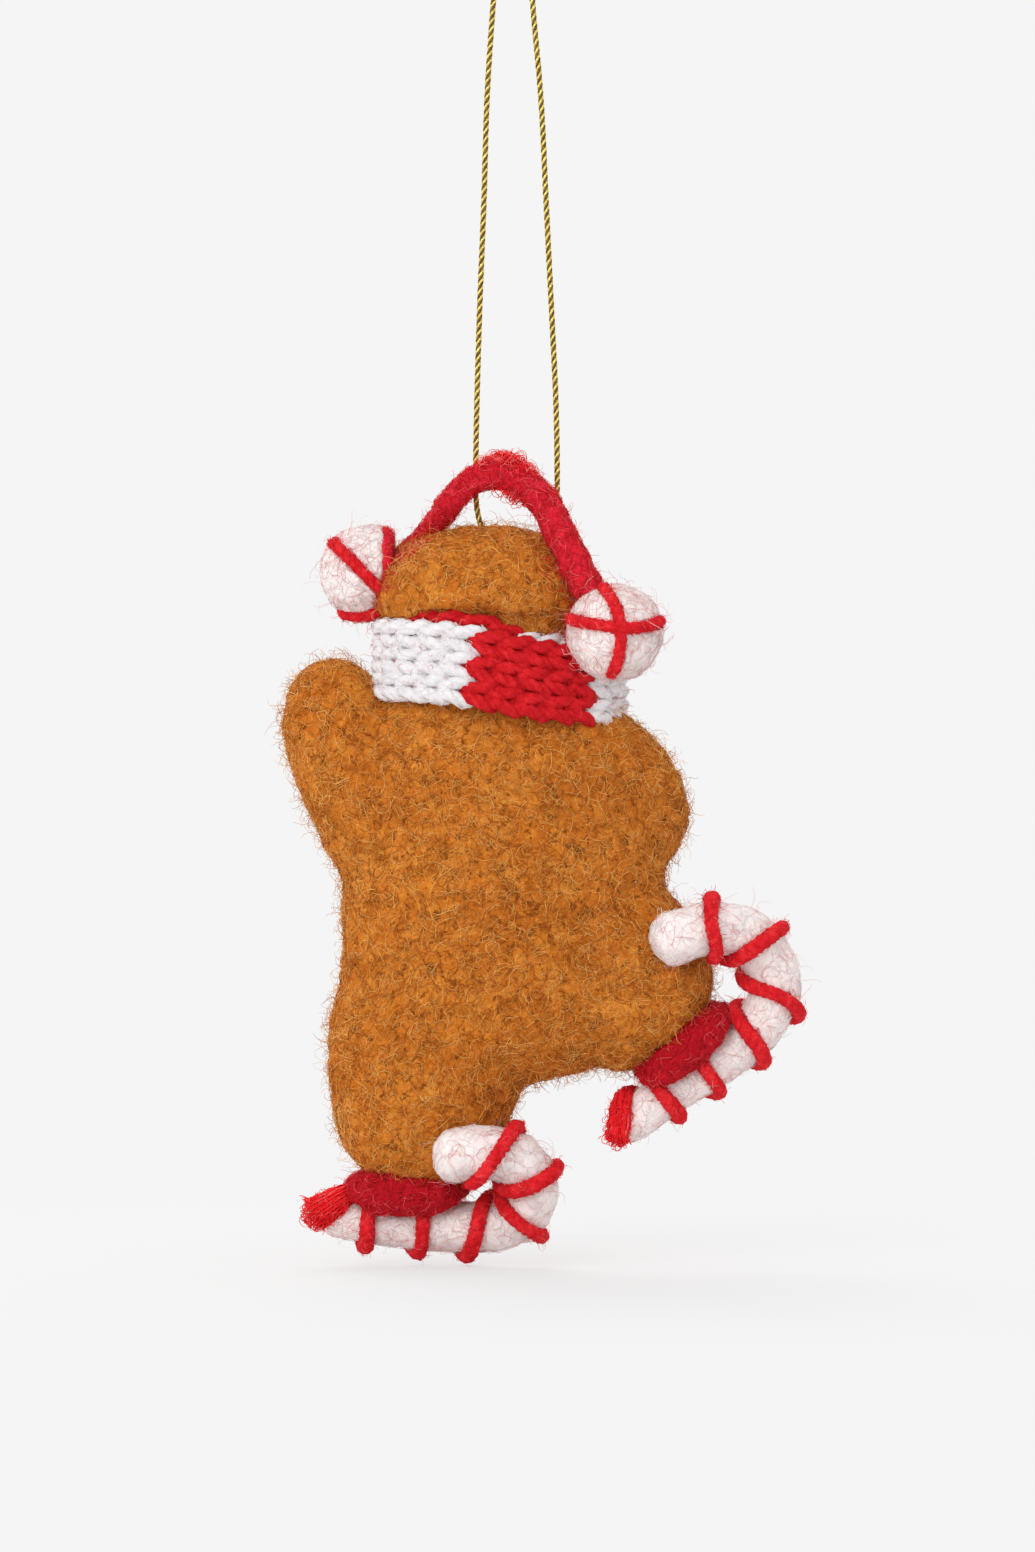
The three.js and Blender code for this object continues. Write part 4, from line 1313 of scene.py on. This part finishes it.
@dataclass
class Earmuffs:
    """The headband of red felt and its two peppermint pads."""

    # The head's ellipsoid, in whose shares places on it are given: across, back and up
    middle: tuple = (4 * MM, 0, -89.6 * MM)
    size: tuple = (17.9 * MM, 12 * MM, 25 * MM)
    radius: float = 2.1 * MM
    pad: float = 7.6 * MM
    skin: float = 0.25 * MM
    line: float = 1.012 * MM
    # How deep a yarn line's free end sinks, and over which share of the line
    dive: float = 2.1 * MM
    dip: float = 0.12
    spine: tuple = (
        (0.83, -0.62, -0.22), (0.7, -0.62, -0.13), (0.59, -0.55, -0.065), (0.45, -0.22, 0.05), (0.31, 0.18, 0.18),
        (0.12, 0.33, 0.3), (-0.08, 0.36, 0.33), (-0.25, 0.37, 0.3), (-0.39, 0.4, 0.24), (-0.51, 0.44, 0.14),
        (-0.6, 0.5, 0.02), (-0.69, 0.66, -0.12), (-0.8, 0.87, -0.28), (-0.93, 0.94, -0.44),
    )
    widths: tuple = ((0, 0.85), (0.4, 0.95), (0.6, 1.12), (1, 1.1))
    # How much of the band each rounded end takes, and how much past the end the rounding goes on
    cap: float = 0.03
    over: float = 0.004
    # How much nearer the head than its red back a ball's flat side lies, in radii
    lap: float = 0.03
    # Loose fibres over the band: from and to which share of it, their height in its radii, and their cloud's size
    tufts: tuple = (
        ("headband_tuft", BAND_TUFT, 0.455, 0.6, 0.9, 1.65 * MM),
        ("headband_wisps", BAND_WISPS, 0.5, 0.61, -0.9, 1.3 * MM),
    )
    # Each pad's side, place, red back and lines of yarn, as peppermint takes them
    pads: tuple = (
        (
            "left",
            (1.08, -0.33, -0.28),
            ((-1, 0, 0), 0.3, 0.54),
            (
                (
                    (0.75, 0.2, 0.63), (0.58, 0.66, 0.48), (0.3, 0.93, 0.2),
                    (0.05, 1, -0.06), (-0.2, 0.92, -0.3), (-0.5, 0.69, -0.52),
                ),
                ((-0.5, 0.69, -0.52), (-0.3, 0.6, -0.74), (-0.04, 0.48, -0.88), (0.3, 0.33, -0.9), (0.6, 0.12, -0.79)),
            ),
        ),
        (
            "right",
            (-1.12, 0.92, -0.68),
            ((0.6, -0.8, 0), 0.62, 0.9),
            (
                (
                    (0.95, 0.1, 0.29), (0.78, 0.58, 0.22), (0.47, 0.87, 0.15), (-0.11, 0.99, 0.07),
                    (-0.57, 0.82, 0.09), (-0.86, 0.48, 0.18), (-0.96, 0.02, 0.27),
                ),
                (
                    (0.3, 0.1, 0.95), (0.15, 0.59, 0.79), (0.02, 0.83, 0.56), (-0.11, 0.99, 0.07),
                    (-0.09, 0.92, -0.38), (0, 0.68, -0.73), (0.14, 0.3, -0.94),
                ),
            ),
        ),
    )

    def on_head(self, shares: Sequence[float]) -> Points:
        """Return a place given across, back and up in shares of the head."""
        return np.array(self.middle) + np.array(shares) * self.size

    def band(self) -> None:
        """Make the felt band with its loose fibres, thickest over the top."""
        line = Route([self.on_head(shares) for shares in self.spine])
        shares = np.linspace(0, 1, 110)
        radii = self.radius * share_at(self.widths, shares)
        radii = radii * round_off(shares + self.over, self.cap) * round_off(1 + self.over - shares, self.cap)
        band = tubes("headband_felt", [Run(line.at(shares), radii)], 22)
        lumped(band.data, BAND_LUMPS, 5.5)
        DRESSER.dress(band, (RED,), Slot.RED, "earmuff_band", padded=True)
        Fleece(band, 21, BAND_FUZZ).strewn("headband_fibres", Slot.RED)
        for name, loose, first, last, rise, size in self.tufts:
            middles = line.at(np.linspace(first, last, 9)) + [0, 0, rise * self.radius]
            swell = size * np.sin(np.linspace(0.5, math.pi - 0.6, 9))
            fibres = cloud(list(zip(middles, swell, strict=True)), loose, 22)
            DRESSER.dress(tubes(name, fibres, FIBRE_SIDES), BRIGHT_TONES, Slot.RED)

    def peppermint(self, side: str, place: tuple, back: tuple, lines: tuple) -> None:
        """Make one pad, its crossed yarn, its red back and its fibres.

        Args:
            side: the side it is on.
            place: its middle's place on the head.
            back: the way it faces the head, and where its red back starts and ends, in radii.
            lines: the ways that its lines of yarn pass, out from its middle.
        """
        centre = self.on_head(place)
        node = f"earmuff_pad_{side}"
        ball = felted(f"peppermint_felt_{side}", (node,), PAD_SKIN)
        lumped(ball.data, PAD_LUMPS, 2.2)
        facing, middle = Vector(back[0]).normalized(), Vector(centre)
        for vertex in ball.data.vertices:
            past = (vertex.co - middle).dot(facing) - (back[1] + self.lap) * self.pad
            vertex.co -= facing * max(past, 0)
        DRESSER.dress(ball, (WHITE,), Slot.WHITE, node, padded=True)
        runs = []
        shares = np.linspace(0, 1, 60)
        tips = [way for ways in lines for way in (ways[0], ways[-1])]
        for ways in lines:
            laid = Route(unit(np.array(ways, float))).at(shares)
            sunk = (tips.count(ways[0]) == 1) * np.maximum(0, 1 - shares / self.dip)
            sunk = sunk + (tips.count(ways[-1]) == 1) * np.maximum(0, 1 - (1 - shares) / self.dip)
            points = centre + unit(laid) * (self.pad + self.skin - self.dive * sunk**1.5)[:, None]
            taper = self.line * np.minimum(1, 0.6 + (1 - np.abs(np.linspace(-1, 1, 60))) * 6)
            runs += plied(Run(points, taper), 3, 4 * MM, 0.58)
        cross = tubes(f"peppermint_yarn_{side}", runs, YARN_SIDES)
        lumped(cross.data, YARN_LUMPS, 6.6)
        DRESSER.dress(cross, (POPPY_YARN,), Slot.RED, f"pad_yarn_{side}")
        self.back(side, centre, *back)
        Fleece(ball, 31 + len(side), PAD_FUZZ).strewn(f"peppermint_fibres_{side}", Slot.WHITE)
        Fleece(cross, 41 + len(side), PAD_YARN_FUZZ).strewn(f"peppermint_yarn_fibres_{side}", Slot.RED)

    def back(self, side: str, centre: Points, way: tuple, start: float, end: float) -> None:
        """Make the flat red felt that backs a pad, where it meets the headband and the head.

        Args:
            side: the pad's side.
            centre: the pad's middle.
            way: the way the felt faces.
            start: where it starts, in radii from the middle.
            end: where it ends.
        """
        disc = bmesh.new()
        bmesh.ops.create_uvsphere(disc, u_segments=48, v_segments=32, radius=self.pad + self.skin)
        facing = Vector(way).normalized()
        for distance, turn in ((end, 1), (start, -1)):
            geometry = disc.verts[:] + disc.edges[:] + disc.faces[:]
            cut = facing * distance * self.pad
            bmesh.ops.bisect_plane(disc, geom=geometry, plane_co=cut, plane_no=facing * turn, clear_outer=True)
            bmesh.ops.holes_fill(disc, edges=[edge for edge in disc.edges if edge.is_boundary])
        bmesh.ops.translate(disc, verts=disc.verts[:], vec=Vector(centre))
        felt = massed(f"peppermint_back_{side}", disc, PAD_BACK_SKIN)
        lumped(felt.data, PAD_BACK_LUMPS, 7.7)
        DRESSER.dress(felt, (RED,), Slot.RED)
        Fleece(felt, 51 + len(side), PAD_BACK_FUZZ).strewn(f"peppermint_back_fibres_{side}", Slot.RED)

    def build(self) -> None:
        """Make the band, both pads and the wire's finish."""
        self.band()
        for pad in self.pads:
            self.peppermint(*pad)
        DRESSER.wear(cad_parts["band_wire"], STEEL)


@dataclass
class Skate:
    """One candy-cane runner with its wound yarn, and the felt boot over it."""

    side: str
    heel: tuple[float, float]
    tilt: float
    spine: tuple
    turns: tuple
    fray: float
    seed: int
    runner: float = 40 * MM
    radius: float = 4.1 * MM
    yarn: float = 1.28 * MM
    # How unevenly thick the yarn is, and over how many radians along it
    swell: float = 0.08
    swells: float = 57
    # One full twist of the yarn, and how many turns it takes round the cane
    lay: float = 3.6 * MM
    wound: float = 6.28
    widths: tuple = ((0, 0.72), (0.12, 0.84), (0.3, 0.94), (0.6, 1), (1, 1.02))
    # How much of the cane its rounded ends take
    caps: tuple = (0.07, 0.055)

    def placed(self, points: Points) -> Points:
        """Carry points on the skate's own axes to their places on the figure."""
        angle = math.radians(self.tilt)
        x = points[:, 0] * math.cos(angle) + points[:, 2] * math.sin(angle)
        z = points[:, 2] * math.cos(angle) - points[:, 0] * math.sin(angle)
        return np.stack([x + self.heel[0] * MM, points[:, 1], z + self.heel[1] * MM], axis=1)

    def lay_line(self) -> Route:
        """Return the cane's line on the skate's own axes."""
        shares = np.array(self.spine, float)
        return Route(np.stack([-shares[:, 0], shares[:, 2], shares[:, 1]], axis=1) * self.runner)

    def thickness(self, shares: Points) -> Points:
        """Return the cane's radius at shares of its length."""
        ends = round_off(shares, self.caps[0]) * round_off(1 - shares, self.caps[1])
        return self.radius * share_at(self.widths, shares) * ends

    def cane(self) -> bpy.types.Object:
        """Make the white felt cane."""
        line = self.lay_line()
        shares = (1 - np.cos(np.linspace(0.02, math.pi - 0.02, 130))) / 2
        cane = tubes(f"cane_felt_{self.side}", [Run(self.placed(line.at(shares)), self.thickness(shares))], 26)
        lumped(cane.data, CANE_LUMPS, 3.3 + self.seed)
        DRESSER.dress(cane, (WHITE,), Slot.WHITE, f"runner_{self.side}", padded=True)
        return cane

    def winding(self, first: float, last: float, steps: int) -> Points:
        """Return points on the yarn's path round the cane, from one turn to another."""
        line = self.lay_line()
        turn = np.linspace(first, last, steps)
        shares = share_at(self.turns, turn)
        across, back = across_and_back(line.along(shares))
        out = self.thickness(np.maximum(shares, 0.03)) + self.yarn * 0.5
        angle = (2 * math.pi * turn)[:, None]
        points = line.at(shares) + (across * np.sin(angle) + back * np.cos(angle)) * out[:, None]
        return self.placed(points)

    def yarns(self) -> None:
        """Wind the red yarn round the cane, and fray its first end into a tuft."""
        path = self.winding(0.0, self.wound, 360)
        soft = self.yarn * (1 + self.swell * np.sin(np.linspace(0, self.swells, len(path))))
        soft = soft * np.minimum(1, 0.5 + (1 - np.linspace(0, 1, len(path))) * 40)
        yarn = tubes(f"cane_yarn_{self.side}", plied(Run(path, soft), 3, self.lay), YARN_SIDES)
        lumped(yarn.data, YARN_LUMPS, 9.1)
        DRESSER.dress(yarn, (POPPY_YARN,), Slot.RED, f"runner_yarn_{self.side}")
        Fleece(yarn, 71 + self.seed, CANE_YARN_FUZZ).strewn(f"cane_yarn_fibres_{self.side}", Slot.RED)
        end = self.winding(0.0, 0.25, 12)
        bundle = self.yarn + (self.fray - self.yarn) * np.linspace(1, 0, 12) ** 0.7
        fibres = frayed(Run(end, bundle), FRAY, 90 + self.seed)
        balls = list(zip(end[:7], bundle[:7] * 0.95, strict=True))
        fibres += cloud(balls, FRAY_CLOUD, 95 + self.seed)
        DRESSER.dress(tubes(f"frayed_end_{self.side}", fibres, FIBRE_SIDES), BRIGHT_TONES, Slot.RED)

    def build(self) -> None:
        """Make the cane, its yarn, the boot and all their loose fibres."""
        cane = self.cane()
        self.yarns()
        boot = felted(f"boot_felt_{self.side}", (f"boot_{self.side}",), BOOT_SKIN)
        lumped(boot.data, BOOT_LUMPS, 4.4)
        DRESSER.dress(boot, (DEEP,), Slot.BOOT, f"boot_{self.side}", padded=True)
        DRESSER.wear(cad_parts[f"runner_wire_{self.side}"], STEEL)
        Fleece(cane, 61 + self.seed, CANE_FUZZ).strewn(f"cane_fibres_{self.side}", Slot.WHITE)
        Fleece(boot, 81 + self.seed, BOOT_FUZZ).strewn(f"boot_fibres_{self.side}", Slot.BOOT)


@dataclass
class Front:
    """The face and the buttons, which the head and torso carry."""

    eye: float = 1.5 * MM
    stand: float = 0.8 * MM
    thread: float = 0.55 * MM
    # How far the smile's line lies inside its solid, at the sides and up and down, and how far it bows back
    inset: float = 0.3 * MM
    lip: float = 0.4 * MM
    bow: float = 0.9 * MM

    def eyes(self) -> None:
        """Make the two bead eyes, let into the felt."""
        for side in ("left", "right"):
            low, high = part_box(f"eye_{side}")
            centre = (low + high) / 2
            centre.y = low.y + self.eye
            bead = bmesh.new()
            bmesh.ops.create_uvsphere(bead, u_segments=40, v_segments=24, radius=self.eye)
            bmesh.ops.translate(bead, verts=bead.verts[:], vec=centre)
            DRESSER.dress(meshed(f"bead_eye_{side}", bead), (JET,), Slot.BEAD, f"eye_{side}")

    def smile(self) -> None:
        """Stitch the smile in red thread."""
        low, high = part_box("smile")
        across = np.linspace(-1, 1, 40)
        middle, half = (low + high) / 2, (high - low) / 2
        points = np.stack(
            [
                middle.x + across * (half.x - self.inset),
                low.y + self.inset + across**2 * self.bow,
                low.z + self.lip + across**2 * 2 * (half.z - self.lip),
            ],
            axis=1,
        )
        runs = plied(Run(points, np.full(len(points), self.thread)), 2, 2.4 * MM, 0.6)
        DRESSER.dress(tubes("smile_stitch", runs, 8), (SCARLET_YARN,), Slot.RED, "smile")

    def buttons(self) -> None:
        """Felt the two buttons, and stand them off the torso's felt."""
        for number in (1, 2):
            node = f"button_{number}"
            button = felted(f"button_felt_{number}", (node,), BUTTON_SKIN)
            button.data.transform(Matrix.Translation((0, -self.stand, 0)))
            lumped(button.data, BUTTON_LUMPS, 1.5 + number)
            DRESSER.dress(button, (RED,), Slot.RED, node)
            Fleece(button, 100 + number, BUTTON_FUZZ).strewn(f"button_fibres_{number}", Slot.RED)

    def build(self) -> None:
        """Make the face and buttons."""
        self.eyes()
        self.smile()
        self.buttons()


@dataclass
class Studio:
    """The pale floor, the soft light and the camera behind the figure."""

    distance: float = 0.95
    centre: tuple[float, float] = (-0.72 * MM, -129.3 * MM)
    frame_height: float = 248.3 * MM
    floor: float = -207.6 * MM
    floor_radius: float = 4.0
    # How far from its middle the floor starts to fade, and ends as plain background
    fade: tuple[float, float] = (0.1, 0.28)
    pale: Colour = rgb(245, 245, 245)
    floor_colour: Colour = rgb(226, 226, 226)
    daylight: float = 0.84
    lamp_size: float = 1.0
    lamps: tuple = (("key", (0.55, 1.15, 0.35), 8.0), ("front", (0.3, -0.9, 0.5), 7.2))

    def backdrop(self) -> None:
        """Lay the floor: it takes shadow near the figure and fades into the pale background."""
        plane = bmesh.new()
        bmesh.ops.create_circle(plane, cap_ends=True, segments=96, radius=self.floor_radius)
        bmesh.ops.translate(plane, verts=plane.verts[:], vec=(0, 0, self.floor))
        floor = meshed("studio_floor", plane, False)
        paint = Paint(bpy.data.materials.new("studio floor"))
        spot = paint.node("ShaderNodeVectorMath", {"operation": "LENGTH"}, {0: paint.place()}, "Value")
        far = spot.between(*self.fade) * paint.looked_at()
        matt = paint.node("ShaderNodeBsdfDiffuse", {}, {"Color": self.floor_colour})
        glow = paint.node("ShaderNodeEmission", {}, {"Color": self.pale, "Strength": 1.0})
        paint.surface(paint.node("ShaderNodeMixShader", {}, {0: far, 1: matt, 2: glow}))
        floor.data.materials.append(paint.block)

    def lamp(self, name: str, place: tuple, power: float) -> None:
        """Hang one soft lamp that looks at the figure's middle."""
        light = bpy.data.lights.new(name, "AREA")
        light.shape = "DISK"
        light.size = self.lamp_size
        light.energy = power
        lamp = linked(name, light)
        lamp.location = place
        aim = Vector((self.centre[0], 0, self.centre[1])) - lamp.location
        lamp.rotation_euler = aim.to_track_quat("-Z", "Y").to_euler()

    def world(self) -> None:
        """Light everything evenly, and show the camera the pale background."""
        paint = Paint(bpy.data.worlds.new("studio"), "ShaderNodeOutputWorld")
        lit = paint.node("ShaderNodeBackground", {}, {"Color": (1, 1, 1, 1), "Strength": self.daylight})
        seen = paint.node("ShaderNodeBackground", {}, {"Color": self.pale})
        paint.surface(paint.node("ShaderNodeMixShader", {}, {0: paint.looked_at(), 1: lit, 2: seen}))
        bpy.context.scene.world = paint.block

    def camera(self) -> None:
        """Stand the camera straight behind the figure."""
        lens = bpy.data.cameras.new("camera")
        lens.lens = lens.sensor_width * self.distance / self.frame_height
        lens.clip_end = 100
        camera = linked("camera", lens)
        camera.location = (self.centre[0], self.distance, self.centre[1])
        camera.rotation_euler = (math.pi / 2, 0, math.pi)
        bpy.context.scene.camera = camera

    def build(self) -> None:
        """Set the whole studio."""
        self.backdrop()
        self.world()
        self.camera()
        for lamp in self.lamps:
            self.lamp(*lamp)
        bpy.context.scene.view_settings.view_transform = "Standard"


LEFT_SKATE = Skate(
    side="left",
    heel=(33.6, -201.1),
    tilt=0.0,
    fray=2.6 * MM,
    spine=(
        (0.05, 0.055, 0), (0.2, 0.024, 0), (0.4, 0.004, 0), (0.6, -0.008, 0.01), (0.76, 0, 0.04),
        (0.875, 0.05, 0.085), (0.915, 0.155, 0.14), (0.865, 0.265, 0.2), (0.73, 0.305, 0.26), (0.53, 0.28, 0.31),
    ),
    turns=(
        (0, 0.005), (0.22, 0.08), (0.75, 0.143), (1.25, 0.155), (1.75, 0.285), (2.25, 0.304), (2.75, 0.41),
        (3.25, 0.5), (3.75, 0.573), (4.25, 0.61), (4.75, 0.7), (5.25, 0.725), (5.75, 0.795), (6.25, 0.92),
    ),
    seed=1,
)
RIGHT_SKATE = Skate(
    side="right",
    heel=(-15.8, -189.1),
    tilt=38.5,
    fray=1.75 * MM,
    spine=(
        (0.045, 0.034, 0), (0.3, 0.04, 0), (0.535, 0.02, 0.01), (0.74, 0.02, 0.03), (0.9, 0.09, 0.06),
        (0.963, 0.22, 0.1), (0.95, 0.353, 0.16), (0.863, 0.45, 0.22), (0.77, 0.5, 0.27), (0.64, 0.545, 0.31),
    ),
    turns=(
        (0, 0.005), (0.22, 0.08), (0.75, 0.159), (1.25, 0.17), (1.75, 0.281), (2.25, 0.296), (2.75, 0.405),
        (3.25, 0.461), (3.75, 0.524), (4.25, 0.616), (4.75, 0.687), (5.25, 0.775), (5.75, 0.835), (6, 0.875),
        (6.25, 0.84),
    ),
    seed=2,
)


def main() -> None:
    """Build the studio and the ornament."""
    logging.basicConfig(level=logging.INFO, format="%(message)s")
    for part in (Studio(), HangingCord(), Gingerbread(), Scarf(), Earmuffs(), LEFT_SKATE, RIGHT_SKATE, Front()):
        LOG.info("building %s", type(part).__name__)
        part.build()


if __name__ == "__main__":
    main()
